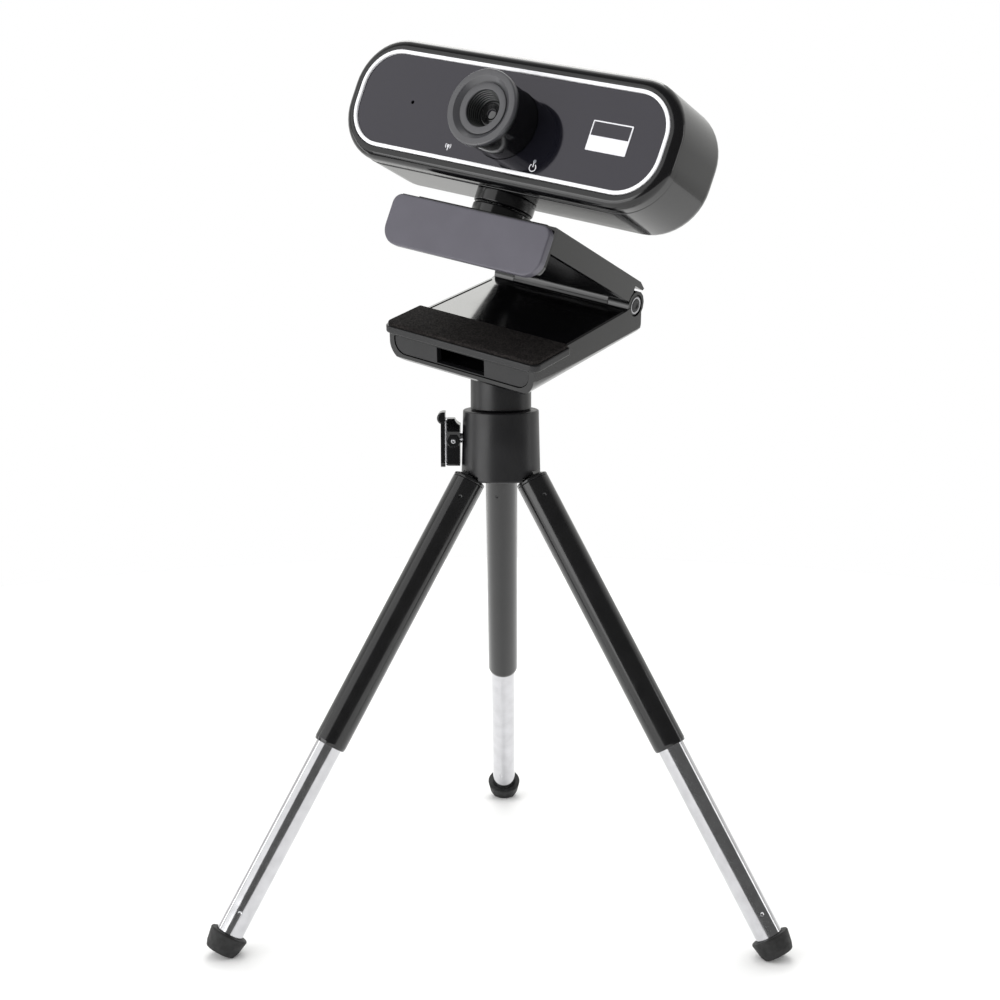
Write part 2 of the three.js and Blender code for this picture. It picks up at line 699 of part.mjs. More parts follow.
const head = {
  middle: 15.1,
  half: 45.5,
  halfHeight: 15.2,
  corner: 13.0,
  parting: -7.1,
  rear: 11.9,
  wall: 1.8,
};
const bezel = { half: 45.7, halfHeight: 15.0, corner: 12.8, front: -11.3, rear: -7.25 };
const trim = { half: 43.0, halfHeight: 12.0, corner: 9.8, width: 0.9, front: -11.55, rear: -9.6 };
const panel = { front: -11.0, rear: -9.4 };
const lens = { x: 1.1, z: 14.1, barrelRadius: 8.3, bore: 7.0, flange: 9.5, front: -22.2, ringDepth: 1.7 };
const board = { halfWidth: 32.3, halfHeight: 9.2, front: -0.8, thickness: 1.2 };
const microphoneSpot = { x: -26.6, z: 15.1 };
const lightSpot = { x: 11.8, z: 7.0 };
const badgeSpot = { x: 28.8, z: 15.2, half: 5.2, halfHeight: 3.45 };

const onHead = (geometry) => geometry.translate(0, 0, head.middle);
const onLens = (geometry) => geometry.translate(lens.x, 0, lens.z);

// Turned pieces of the lens are drawn with +Z towards the subject, then laid along -Y.
const lensTurned = (section, facets = ROUND) => onLens(turnToFront(turned(section, facets)));

const collarSpigot = neck.radius - 0.8; // the part of the upper collar that sits in the case's floor

function upperCollar() {
  return turned([
    [bolt.radius + slip, -3.1],
    [neck.radius - 0.5, -3.1],
    [neck.radius, -2.7],
    [neck.radius, -0.1],
    [collarSpigot, -0.1],
    [collarSpigot, 0.9],
    [bolt.radius + slip, 0.9],
    [bolt.radius + slip, -3.1],
  ]);
}

function swivelBolt() {
  const under = arm.top - arm.wall - neck.base - 0.8;
  return turned(
    [
      [0, under - 1.6],
      [3.0, under - 1.6],
      [3.4, under - 1.2],
      [3.4, under],
      [bolt.radius, under],
      [bolt.radius, 4.4],
      [0, 4.4],
    ],
    SMALL,
  );
}

function swivelNut() {
  const corners = [...Array(6).keys()].map((index) => index * 60 * DEG);
  const hexagon = outlineOf(corners.map((angle) => [4 * Math.cos(angle), 4 * Math.sin(angle)]));
  return cut(planPrism(hexagon, 2.0, 4.2), rod(bolt.radius + 0.02, 1, 6));
}

// Rounded rear half of the case, hollow, with a hole for the swivel, the cable gland and two screws.
const gland = { x: -16, z: 11.8, radius: 2.6 };
const screwSpots = [-36, 36];
const screwRecess = { radius: 2.3, depth: 2.4 };
const atScrews = (shape) => screwSpots.map((x) => shape.clone().translate(x, 0, head.middle));

function rearHousing() {
  const roundness = 6.5;
  const outline = roundedRectangle(head.half, head.halfHeight, head.corner);
  const outer = onHead(frontPrism(outline, head.parting - 10, head.rear, roundness));
  const inner = onHead(
    frontPrism(
      roundedRectangle(head.half - head.wall, head.halfHeight - head.wall, head.corner - head.wall),
      head.parting - 12,
      head.rear - head.wall,
      roundness - head.wall,
      5,
    ),
  );
  const frontCut = block([-60, 60], [head.parting - 12, head.parting], [-20, 50]);
  const collarHole = rod(collarSpigot + 0.15, -2, 1.1, ROUND);
  const boltHole = rod(bolt.radius + 0.2, 0, 4);
  const glandHole = turnToFront(rod(gland.radius, -head.rear - 1, 0)).translate(gland.x, 0, gland.z);
  const recessFloor = -head.rear + screwRecess.depth;
  const bosses = atScrews(turnToFront(rod(3.2, -head.rear + 1.2, -head.parting - 0.2)));
  const bossHoles = atScrews(turnToFront(rod(screwRecess.radius, -head.rear - 1, recessFloor)));
  const shankHoles = atScrews(turnToFront(rod(1.05, -head.rear, -head.parting + 1)));
  const floorPad = block([-9, 9], [-7.0, 6.8], [0.4, 2.0]);
  const shell = join(cut(outer, inner, frontCut), floorPad, ...bosses);
  return cut(shell, collarHole, boltHole, glandHole, ...bossHoles, ...shankHoles);
}

function housingScrew(x) {
  const seat = -head.rear + screwRecess.depth - 0.05;
  const end = -bezel.rear + 1.15;
  const section = [
    [0, seat - 1.3],
    [1.7, seat - 1.3],
    [2.1, seat - 0.9],
    [2.1, seat],
    [1.0, seat],
    [1.0, end],
    [0, end],
  ];
  const body = turned(section, SMALL);
  const slotAcross = block([-1.4, 1.4], [-0.25, 0.25], [seat - 2, seat - 0.8]);
  const slotUp = block([-0.25, 0.25], [-1.4, 1.4], [seat - 2, seat - 0.8]);
  return turnToFront(cut(body, slotAcross, slotUp)).translate(x, 0, head.middle);
}

// Rubber gland in the rear of the case where the lead leaves; the lead itself isn't part of this model.
function cableGland() {
  const back = -head.rear;
  const body = turned(
    [
      [1.5, back - 1.2],
      [2.5, back - 1.2],
      [3.3, back - 0.7],
      [3.3, back - 0.1],
      [gland.radius - 0.05, back - 0.1],
      [gland.radius - 0.05, back + 2.6],
      [1.5, back + 2.6],
      [1.5, back - 1.2],
    ],
    SMALL,
  );
  return turnToFront(body).translate(gland.x, 0, gland.z);
}

function frontBezel() {
  const outer = frontPrism(
    roundedRectangle(bezel.half, bezel.halfHeight, bezel.corner),
    bezel.front,
    bezel.rear + 3,
    1.6,
  );
  const behind = block([-60, 60], [bezel.rear, bezel.rear + 5], [-40, 40]);
  const window = frontPrism(
    roundedRectangle(trim.half + 0.08, trim.halfHeight + 0.08, trim.corner + 0.08),
    bezel.front - 1,
    bezel.rear - 1.8,
  );
  const opening = frontPrism(
    roundedRectangle(trim.half - 1.6, trim.halfHeight - 1.6, trim.corner - 1.6),
    bezel.front - 1,
    bezel.rear + 1,
  );
  const flangeRoom = onLens(turnToFront(rod(lens.flange + 0.4, 0, -panel.rear + 0.1, ROUND)));
  return cut(onHead(cut(outer, behind, window, opening)), flangeRoom);
}

function trimRing() {
  const { half, halfHeight, corner, width } = trim;
  const outer = frontPrism(roundedRectangle(half, halfHeight, corner), trim.front, trim.rear);
  const inner = frontPrism(
    roundedRectangle(half - width, halfHeight - width, corner - width),
    trim.front - 1,
    trim.rear + 1,
  );
  return onHead(cut(outer, inner));
}

function frontPanel() {
  const inset = trim.width + 0.06;
  const sheet = onHead(
    frontPrism(
      roundedRectangle(trim.half - inset, trim.halfHeight - inset, trim.corner - inset),
      panel.front,
      panel.rear,
    ),
  );
  const lensHole = onLens(turnToFront(rod(lens.barrelRadius + 0.15, 0, 20, ROUND)));
  const soundHole = turnToFront(rod(0.45, 0, 20, 12)).translate(microphoneSpot.x, 0, microphoneSpot.z);
  const lightHole = turnToFront(rod(0.5, 0, 20, 12)).translate(lightSpot.x, 0, lightSpot.z);
  return cut(sheet, lensHole, soundHole, lightHole);
}

function badgePlate() {
  const outline = roundedRectangle(badgeSpot.half, badgeSpot.halfHeight, 0.25);
  const label = frontPrism(outline, panel.front - 0.22, panel.front - 0.02, 0, 2);
  return label.translate(badgeSpot.x, 0, badgeSpot.z);
}

// Fixed barrel: flange behind the panel, long glossy sleeve in front of it.
function lensBarrel() {
  const sleeveEnd = -lens.front - lens.ringDepth - gap;
  return lensTurned([
    [lens.bore, 6.6],
    [lens.flange, 6.6],
    [lens.flange, 9.1],
    [lens.barrelRadius, 9.3],
    [lens.barrelRadius, sleeveEnd - 0.2],
    [lens.barrelRadius - 0.2, sleeveEnd],
    [lens.bore, sleeveEnd],
    [lens.bore, 6.6],
  ]);
}

// Focus ring, pressed on the lens tube, with its stepped, dished front.
const tubeRadius = { tail: 4.14, body: 5.7, head: 6.05, mouth: 4.25, glass: 3.0 };

function focusRing() {
  const nose = -lens.front;
  const bore = tubeRadius.head + 0.05;
  const outer = lens.barrelRadius + 0.6;
  return lensTurned([
    [bore, nose - lens.ringDepth],
    [outer - 0.2, nose - lens.ringDepth],
    [outer, nose - lens.ringDepth + 0.2],
    [outer, nose - 0.3],
    [outer - 0.3, nose],
    [7.3, nose],
    [6.3, nose - 1.0],
    [bore, nose - 1.0],
    [bore, nose - lens.ringDepth],
  ]);
}

// Lens tube that turns with the focus ring and carries the glass; its tail is threaded into the lens holder.
function lensTube() {
  const nose = -lens.front;
  return lensTurned([
    [tubeRadius.glass, 4.0],
    [tubeRadius.tail, 4.0],
    [tubeRadius.tail, 8.0],
    [tubeRadius.body, 8.0],
    [tubeRadius.body, nose - 2.2],
    [tubeRadius.head, nose - 2.0],
    [tubeRadius.head, nose - 1.0],
    [tubeRadius.head - 0.2, nose - 0.8],
    [tubeRadius.mouth + 0.25, nose - 0.8],
    [tubeRadius.mouth, nose - 1.05],
    [tubeRadius.mouth, nose - 3.2],
    [tubeRadius.glass, nose - 3.8],
    [tubeRadius.glass, 4.0],
  ]);
}

function frontGlass() {
  const nose = -lens.front;
  const edge = tubeRadius.glass - 0.1;
  return lensTurned([
    [0, nose - 5.6],
    [edge, nose - 5.6],
    [edge, nose - 4.5],
    [2.0, nose - 4.05],
    [1.0, nose - 3.8],
    [0, nose - 3.72],
  ]);
}

function lensHolder() {
  const body = block([-6.7, 6.7], [board.front - 4.6, board.front - 0.05], [-6.7, 6.7]);
  const bore = turnToFront(rod(tubeRadius.tail + slip, -2, 12, ROUND));
  const sensorPocket = block([-3.8, 3.8], [board.front - 1.4, board.front + 1], [-3.3, 3.3]);
  return onLens(cut(body, bore, sensorPocket));
}

const imageSensor = () => onLens(block([-3.6, 3.6], [board.front - 1.1, board.front - 0.05], [-3.1, 3.1]));

function mainBoard() {
  const body = onHead(
    frontPrism(
      roundedRectangle(board.halfWidth, board.halfHeight, 1.5),
      board.front,
      board.front + board.thickness,
      0,
      3,
    ),
  );
  const notch = block([-8, 8], [board.front - 1, board.front + 3], [0, 7.2]);
  return cut(body, notch);
}

function microphone() {
  const body = block([-2, 2], [board.front - 1.3, board.front - 0.05], [-1.5, 1.5]);
  return body.translate(microphoneSpot.x, 0, microphoneSpot.z);
}

// Clear light pipe from the board to the panel's small window.
function lightPipe() {
  const body = turned([[0, 0.9], [0.6, 0.9], [0.6, 9.2], [0.45, 9.4], [0.45, 10.95], [0, 10.95]], 12);
  return turnToFront(body).translate(lightSpot.x, 0, lightSpot.z);
}

// ---------------------------------------------------------------------------------------------------------
// Assembly
// ---------------------------------------------------------------------------------------------------------

add("hub_shell", hubShell(), "satinBlack", tripodFrame);
add("leg_spider", legSpider(), "satinBlack", tripodFrame);
add("spider_screw", spiderScrew(), "steel", tripodFrame);

// The feet are trimmed by the table's surface after the legs are swung out.
const underTable = block([-200, 200], [-200, 200], [-50, 0]);
const legNames = ["rear", "left", "right"];
legFrames.forEach((frame, index) => {
  const name = legNames[index];
  const placed = legPlacement(frame);
  const pin = turnToX(rod(lug.pinRadius - 0.02, -lug.pinHalf, lug.pinHalf));
  add(`leg_pin_${name}`, pin, "steel", chain(tripodFrame, frame, move(0, leg.pivotRadius, leg.pivotHeight)));
  add(`leg_knuckle_${name}`, legKnuckle(), "satinBlack", placed);
  add(`leg_tube_${name}`, outerTube(), "paintedTube", placed);
  add(`leg_bush_${name}`, slideBush(), "nylon", placed);
  add(`leg_slider_${name}`, innerTube(), "polishedTube", placed);
  add(`foot_${name}`, cut(rubberFoot().applyMatrix4(placed), underTable), "rubber");
});

add("neck_post", neckPost(), "satinBlack", tripodFrame);
add("ball_seat", ballSeat(), "nylon", tripodFrame);
add("clamp_screw", clampShank(), "steel", clampFrame);
add("knob_body", knobBody(), "glossyBlack", clampFrame);
add("knob_plate", knobPlate(), "steel", clampFrame);
add("knob_wing", knobWing(), "glossyBlack", clampFrame);
add("ball_stud", ballStud(), "steel", jawFrame);

add("jaw_shell", jawShell(), "glossyBlack", jawFrame);
add("jaw_cover", jawCover(), "satinBlack", jawFrame);
add("thread_insert", threadInsert(), "brass", jawFrame);
add("pad_carrier", padCarrier(), "satinBlack", jawFrame);
add("foam_pad", foamPad(), "foam", jawFrame);
add("hinge_pin", hingePin(), "steel", jawFrame);
add("hinge_nut", hingeNut(), "steel", jawFrame);

add("clip_arm", clipArm(), "glossyBlack", armFrame);
add("lip_cover", lipCover(), "violetGrey", armFrame);
add("arm_lid", armLid(), "satinBlack", armFrame);
add("lower_collar", lowerCollar(), "glossyBlack", armFrame);
add("swivel_washer", swivelWasher(), "steel", armFrame);

add("upper_collar", upperCollar(), "glossyBlack", headFrame);
add("swivel_bolt", swivelBolt(), "steel", headFrame);
add("swivel_nut", swivelNut(), "steel", headFrame);
add("rear_housing", rearHousing(), "glossyBlack", headFrame);
screwSpots.forEach((x, index) => add(`housing_screw_${index + 1}`, housingScrew(x), "steel", headFrame));
add("cable_gland", cableGland(), "rubber", headFrame);
add("front_bezel", frontBezel(), "glossyBlack", headFrame);
add("trim_ring", trimRing(), "whiteTrim", headFrame);
add("front_panel", frontPanel(), "panelGrey", headFrame);
add("badge_plate", badgePlate(), "badge", headFrame);
add("lens_barrel", lensBarrel(), "glossyBlack", headFrame);
add("focus_ring", focusRing(), "satinBlack", headFrame);
add("lens_tube", lensTube(), "satinBlack", headFrame);
add("front_glass", frontGlass(), "glass", headFrame);
add("lens_holder", lensHolder(), "satinBlack", headFrame);
add("image_sensor", imageSensor(), "glass", headFrame);
add("main_board", mainBoard(), "boardGreen", headFrame);
add("microphone", microphone(), "steel", headFrame);
add("light_pipe", lightPipe(), "clear", headFrame);

// Bring the middle of the bounding box's base to the origin.
const bounds = new THREE.Box3().setFromObject(webcam);
const middle = bounds.getCenter(new THREE.Vector3());
webcam.children.forEach((mesh) => mesh.geometry.translate(-middle.x, -middle.y, -bounds.min.z));

export default webcam;
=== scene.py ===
# Webcam on a mini tripod: the finished surfaces, materials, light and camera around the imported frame.
# Shapes are drawn in millimetres in the frame of the part that they belong to, and stored in metres.
import json
import math

import bmesh
import bpy
from mathutils import Matrix, Vector


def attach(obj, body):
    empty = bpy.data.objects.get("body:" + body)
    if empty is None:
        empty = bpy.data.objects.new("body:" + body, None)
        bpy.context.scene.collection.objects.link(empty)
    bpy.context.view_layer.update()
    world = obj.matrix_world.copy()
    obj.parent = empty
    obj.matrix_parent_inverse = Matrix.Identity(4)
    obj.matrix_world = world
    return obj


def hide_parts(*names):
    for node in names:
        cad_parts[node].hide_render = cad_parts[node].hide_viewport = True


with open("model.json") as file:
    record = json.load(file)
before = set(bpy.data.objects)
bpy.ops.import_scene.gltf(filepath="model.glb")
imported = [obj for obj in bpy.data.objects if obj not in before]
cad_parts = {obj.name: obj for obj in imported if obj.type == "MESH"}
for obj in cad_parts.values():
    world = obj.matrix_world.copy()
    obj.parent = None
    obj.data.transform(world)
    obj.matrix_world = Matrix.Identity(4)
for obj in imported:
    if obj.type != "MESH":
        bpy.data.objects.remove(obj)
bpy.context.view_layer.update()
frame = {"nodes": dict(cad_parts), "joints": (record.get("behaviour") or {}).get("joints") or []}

MM = 0.001
FACETS = 96  # round a turned piece
ARC = 12  # steps round a quarter of an outline's corner
SHARP = math.radians(32)  # faces that meet at more than this keep a crisp edge


# ---------------------------------------------------------------------------------------------------------
# Frames of the parts, from the joints
# ---------------------------------------------------------------------------------------------------------

JOINTS = {joint["name"]: joint for joint in frame["joints"]}
LEGS = ("rear", "left", "right")


def joint_axis(name):
    return Vector(JOINTS[name]["axis"]).normalized()


def joint_point(name):
    return Vector(JOINTS[name]["pos_m"])


def axes(origin, x, z):
    """The frame at origin whose X and Z lie along the given directions."""
    z = z.normalized()
    x = (x - x.dot(z) * z).normalized()
    matrix = Matrix((x, z.cross(x), z)).transposed().to_4x4()
    matrix.translation = origin
    return matrix


UP = Vector((0, 0, 1))
tripod_axis = joint_point("neck_pan") * Vector((1, 1, 0))
tripod = axes(tripod_axis, joint_axis("leg_fold_rear"), UP)
screw_root = tripod_axis + UP * joint_point("clamp_turn").z
clamp = axes(screw_root, UP.cross(joint_axis("clamp_turn")), joint_axis("clamp_turn"))
jaw = axes(joint_point("ball_tilt"), joint_axis("clip_hinge"), joint_axis("camera_screw"))
arm = axes(joint_point("clip_hinge"), joint_axis("clip_hinge"), joint_axis("head_pan"))
head = axes(joint_point("head_pan"), joint_axis("clip_hinge"), joint_axis("head_pan"))
lens_offset = head.inverted() @ joint_point("focus_turn")
lens = axes(
    head @ Vector((lens_offset.x, 0, lens_offset.z)), joint_axis("clip_hinge"), joint_axis("focus_turn")
)


def leg_frame(name):
    """A leg's frame at its pivot, with X along the pin and Z up the leg."""
    fold = f"leg_fold_{name}"
    return axes(joint_point(fold), joint_axis(fold), -joint_axis(f"leg_slide_{name}"))


legs = {name: leg_frame(name) for name in LEGS}


# ---------------------------------------------------------------------------------------------------------
# Shape helpers: a shape is (points, faces)
# ---------------------------------------------------------------------------------------------------------


def rounded(corners, radius=0.15, closed=True, steps=4):
    """An outline with its corners turned into arcs. A corner may carry its own radius as a third value."""
    points = []
    for index, corner in enumerate(corners):
        here = Vector(corner[:2])
        wanted = corner[2] if len(corner) > 2 else radius
        at_end = not closed and index in (0, len(corners) - 1)
        if at_end or wanted == 0:
            points.append(here)
            continue
        back = Vector(corners[index - 1][:2]) - here
        ahead = Vector(corners[(index + 1) % len(corners)][:2]) - here
        half = back.angle(ahead) / 2
        if half > math.radians(88):
            points.append(here)
            continue
        reach = min(wanted / math.tan(half), 0.48 * back.length, 0.48 * ahead.length)
        arc_radius = reach * math.tan(half)
        centre = here + (back.normalized() + ahead.normalized()).normalized() * arc_radius / math.sin(half)
        start = here + back.normalized() * reach - centre
        end = here + ahead.normalized() * reach - centre
        turn = math.copysign(start.angle(end), start.x * end.y - start.y * end.x)
        for step in range(steps + 1):
            points.append(centre + Matrix.Rotation(turn * step / steps, 2) @ start)
    return [tuple(point) for point in points]


def skin(rings, closed=False):
    """The surface through rings of points. A ring of one point is a pole, and open ends are capped."""
    points, index, faces = [], [], []
    for ring in rings:
        index.append(range(len(points), len(points) + len(ring)))
        points.extend(ring)
    pairs = list(zip(index, index[1:]))
    if closed:
        pairs.append((index[-1], index[0]))
    for low, high in pairs:
        for k in range(max(len(low), len(high))):
            ahead = k + 1
            quad = (low[k % len(low)], low[ahead % len(low)], high[ahead % len(high)], high[k % len(high)])
            faces.append(list(dict.fromkeys(quad)))
    if not closed:
        faces += [list(ring) for ring in (index[0], index[-1]) if len(ring) > 2]
    return points, faces


def circle(radius, height, facets):
    if radius < 1e-6:
        return [(0, 0, height)]
    turns = [2 * math.pi * k / facets for k in range(facets)]
    return [(radius * math.cos(turn), radius * math.sin(turn), height) for turn in turns]


def turned(section, edge=0.15, hollow=False, facets=FACETS):
    """A body turned about Z. A solid section runs from axis to axis, and a hollow one closes on itself."""
    outline = rounded(section, edge, closed=hollow)
    return skin([circle(radius, height, facets) for radius, height in outline], hollow)


def rod(radius, low, high, facets=48):
    return skin([circle(radius, low, facets), circle(radius, high, facets)])


def rectangle(half_x, half_y, corners):
    """Points of a rounded rectangle, anticlockwise. corners are the radii at low and at high Y."""
    points = []
    quarters = ((1, -1, corners[0]), (1, 1, corners[1]), (-1, 1, corners[1]), (-1, -1, corners[0]))
    for quarter, (side, end, radius) in enumerate(quarters):
        for step in range(ARC + 1):
            angle = math.pi / 2 * (quarter - 1 + step / ARC)
            x = side * (half_x - radius) + radius * math.cos(angle)
            y = end * (half_y - radius) + radius * math.sin(angle)
            points.append((x, y))
    return points


def levels(outline, profile):
    """Rings of a rounded rectangle (half width, half height, low radius, high radius), one for each
    (inset, depth) of the profile. They stand in X and Z, at the depth along Y."""
    half_x, half_z, low, high = outline
    rings = []
    for inset, depth in profile:
        corners = (max(low - inset, 0.03), max(high - inset, 0.03))
        flat = rectangle(half_x - inset, half_z - inset, corners)
        rings.append([(x, depth, z) for x, z in flat])
    return rings


def slab(outline, front, rear, edge):
    """A rounded rectangle from front to rear along Y, with rounded edges."""
    section = [(2 * edge, front), (0, front), (0, rear), (2 * edge, rear)]
    return skin(levels(outline, rounded(section, edge, closed=False, steps=5)))


def prism(outline, low, high, along):
    """An outline drawn in the other two axes, in their order, extruded along X, Y or Z."""
    place = {
        "x": lambda a, b, c: (c, a, b),
        "y": lambda a, b, c: (a, c, b),
        "z": lambda a, b, c: (a, b, c),
    }[along]
    return skin([[place(a, b, level) for a, b in outline] for level in (low, high)])


def block(x, y, z):
    return prism([(x[0], y[0]), (x[1], y[0]), (x[1], y[1]), (x[0], y[1])], z[0], z[1], "z")


def moved(shape, matrix):
    points, faces = shape
    return [tuple(matrix @ Vector(point)) for point in points], faces


def shifted(shape, x=0.0, y=0.0, z=0.0):
    return moved(shape, Matrix.Translation((x, y, z)))


def spun(shape, degrees, axis):
    return moved(shape, Matrix.Rotation(math.radians(degrees), 4, axis))


def laid_flat(shape):
    """A shape drawn upright, facing -Y, laid down to face +Z with its front edge at -Y."""
    return moved(shape, Matrix(((1, 0, 0, 0), (0, 0, 1, 0), (0, 1, 0, 0), (0, 0, 0, 1))))


def mesh_of(name, shape, scale):
    points, faces = shape
    mesh = bpy.data.meshes.new(name)
    mesh.from_pydata([Vector(point) * scale for point in points], [], faces)
    solid = bmesh.new()
    solid.from_mesh(mesh)
    bmesh.ops.remove_doubles(solid, verts=solid.verts, dist=1e-4 * scale)
    bmesh.ops.recalc_face_normals(solid, faces=solid.faces)
    solid.to_mesh(mesh)
    solid.free()
    return mesh


def combined(shape, others, operation):
    """The shape with the others cut from it (DIFFERENCE) or joined to it (UNION)."""
    made = []
    for item in (shape, *others):
        workpiece = bpy.data.objects.new("workpiece", mesh_of("workpiece", item, 1.0))
        bpy.context.scene.collection.objects.link(workpiece)
        made.append(workpiece)
    for other in made[1:]:
        modifier = made[0].modifiers.new("combine", "BOOLEAN")
        modifier.object = other
        modifier.operation = operation
        modifier.solver = "EXACT"
    result = made[0].evaluated_get(bpy.context.evaluated_depsgraph_get()).to_mesh()
    points = [tuple(vertex.co) for vertex in result.vertices]
    faces = [list(polygon.vertices) for polygon in result.polygons]
    for workpiece in made:
        mesh = workpiece.data
        bpy.data.objects.remove(workpiece)
        bpy.data.meshes.remove(mesh)
    return points, faces


def cut(shape, *others):
    return combined(shape, others, "DIFFERENCE")


def fused(shape, *others):
    return combined(shape, others, "UNION")


# ---------------------------------------------------------------------------------------------------------
# Materials
# ---------------------------------------------------------------------------------------------------------

DRAWN = (1, 1, 0.015)  # working lines along a tube
LATHED = (0.02, 0.02, 1)  # working lines round a turned part


class Finish:
    """A node material under construction, with the record's slot that it stands for."""

    def __init__(self, slot, **constants):
        self.slot = slot
        self.material = bpy.data.materials.new(slot)
        self.material.use_nodes = True
        self.nodes = self.material.node_tree.nodes
        self.links = self.material.node_tree.links
        self.shader = self.nodes["Principled BSDF"]
        self.position = self.nodes.new("ShaderNodeTexCoord").outputs["Object"]
        for socket, value in constants.items():
            self.shader.inputs[socket.replace("_", " ")].default_value = value

    def node(self, kind, inputs, **settings):
        made = self.nodes.new(kind)
        for name, value in settings.items():
            setattr(made, name, value)
        for name, value in inputs.items():
            if isinstance(value, bpy.types.NodeSocket):
                self.links.new(value, made.inputs[name])
            else:
                made.inputs[name].default_value = value
        return made

    def stretched(self, scale):
        """The position, scaled on each axis, so that a texture comes out long or short along it."""
        return self.node("ShaderNodeMapping", {"Vector": self.position, "Scale": scale}).outputs["Vector"]

    def noise(self, size_mm, detail=3.0, stretch=None):
        """Noise from 0 to 1 whose blobs are about size_mm across."""
        position = self.stretched(stretch) if stretch else self.position
        made = self.node(
            "ShaderNodeTexNoise", {"Vector": position, "Scale": 1 / (size_mm * MM), "Detail": detail}
        )
        return made.outputs["Fac"]

    def ranged(self, value, low, high, source=(0.3, 0.7)):
        made = self.node(
            "ShaderNodeMapRange",
            {"Value": value, "From Min": source[0], "From Max": source[1], "To Min": low, "To Max": high},
        )
        return made.outputs["Result"]

    def mixed(self, amount, first, second):
        made = self.node("ShaderNodeMix", {"Factor": amount}, data_type="RGBA")
        for index, colour in ((6, first), (7, second)):
            if isinstance(colour, bpy.types.NodeSocket):
                self.links.new(colour, made.inputs[index])
            else:
                made.inputs[index].default_value = (*colour, 1)
        return made.outputs[2]

    def colour(self, socket):
        self.links.new(socket, self.shader.inputs["Base Color"])

    def clouded(self, size_mm, first, second, detail=3.0):
        """Colours the surface with soft clouds of two shades."""
        self.colour(self.mixed(self.ranged(self.noise(size_mm, detail), 0, 1), first, second))

    def rough(self, size_mm, low, high, detail=3.0):
        """Varies the roughness in soft patches."""
        self.links.new(self.ranged(self.noise(size_mm, detail), low, high), self.shader.inputs["Roughness"])

    def grain(self, size_mm, detail, depth_mm, stretch=None):
        """Adds a relief of noise."""
        self.bump(self.noise(size_mm, detail, stretch), depth_mm)

    def bump(self, height, depth_mm):
        """Adds relief of that depth over any relief already there."""
        made = self.node("ShaderNodeBump", {"Height": height, "Distance": depth_mm * MM})
        normal = self.shader.inputs["Normal"]
        if normal.links:
            self.links.new(normal.links[0].from_socket, made.inputs["Normal"])
        self.links.new(made.outputs["Normal"], normal)


def shades(colour, spread):
    return tuple(c * (1 - spread) for c in colour), tuple(c * (1 + spread) for c in colour)


def add_moulding(made, roughness, grain_mm, grain_depth):
    """What moulding and handling leave on plastic: smudges in the gloss, a slow ripple and tool grain."""
    made.rough(9.0, roughness * 0.82, roughness * 1.22, 5.0)
    made.grain(3.2, 1.0, 0.004)
    made.grain(grain_mm, 4.0, grain_depth)


def moulded(slot, colour, roughness, grain_mm, grain_depth, **constants):
    made = Finish(slot, **constants)
    made.clouded(6.0, *shades(colour, 0.12))
    add_moulding(made, roughness, grain_mm, grain_depth)
    return made


def gloss_black():
    base = (0.0035, 0.0035, 0.004)
    return moulded("gloss_black_case", base, 0.15, 0.22, 0.0005, Coat_Weight=0.25, Coat_Roughness=0.04)


def satin_black():
    return moulded("satin_black_plastic", (0.0065, 0.0065, 0.0075), 0.36, 0.16, 0.003)


def lens_ring(well_top):
    """The lens's front rings: turned finer than the rest, with a painted highlight making them lighter above
    well_top and painted shade making the well black below it.
    """
    made = Finish("satin_black_plastic", Specular_IOR_Level=1.0)
    height = made.node("ShaderNodeSeparateXYZ", {"Vector": made.position}).outputs["Z"]
    painted_light_mask = made.ranged(height, 0, 1, ((well_top - 0.1) * MM, well_top * MM))
    # Painted highlight and shade: the front faces get a lighter grey in their colour, and the well below
    # well_top is painted near black.
    made.colour(made.mixed(painted_light_mask, (0.003, 0.004, 0.004), (0.045, 0.045, 0.050)))
    add_moulding(made, 0.30, 0.12, 0.002)
    made.grain(0.15, 2.0, 0.002, LATHED)
    return made


def violet_grey():
    """Painted plate: fine metallic flake under a satin lacquer."""
    made = Finish("violet_grey_lip", Metallic=0.25, Coat_Weight=0.15, Coat_Roughness=0.25)
    dark, light = shades((0.092, 0.088, 0.108), 0.05)
    flake = made.node(
        "ShaderNodeTexVoronoi", {"Vector": made.position, "Scale": 1 / (0.11 * MM)}
    ).outputs["Distance"]
    base = made.mixed(made.ranged(made.noise(7.0), 0, 1), dark, light)
    made.colour(made.mixed(made.ranged(flake, 0.12, 0.0, (0.05, 0.4)), base, (0.22, 0.21, 0.25)))
    made.rough(8.0, 0.38, 0.47, 4.0)
    made.bump(flake, 0.0012)
    return made


def panel_grey():
    """Polished front window, tinted violet and printed black behind: it mirrors the lens barrel."""
    made = Finish("front_panel_grey", IOR=1.66, Specular_Tint=(0.95, 0.92, 1.0, 1.0))
    made.clouded(12.0, *shades((0.006, 0.006, 0.009), 0.05))
    made.rough(10.0, 0.05, 0.09, 4.0)
    made.grain(5.0, 1.0, 0.0012)
    return made


def white_trim():
    made = Finish("white_trim", Coat_Weight=0.5, Coat_Roughness=0.1)
    made.clouded(4.0, (0.80, 0.80, 0.82), (0.90, 0.90, 0.92))
    made.rough(2.0, 0.22, 0.32)
    made.grain(0.5, 2.0, 0.001)
    return made


def leg_paint():
    """Gloss paint on drawn tube: the draw lines show faintly through it, with orange peel over them."""
    made = Finish("black_leg_paint", Coat_Weight=0.4, Coat_Roughness=0.05)
    made.clouded(5.0, (0.0035, 0.0035, 0.0038), (0.006, 0.006, 0.0065))
    made.rough(3.0, 0.14, 0.24, 4.0)
    made.grain(0.5, 2.0, 0.0012, (1, 1, 0.02))
    made.grain(0.7, 2.0, 0.0012)
    return made


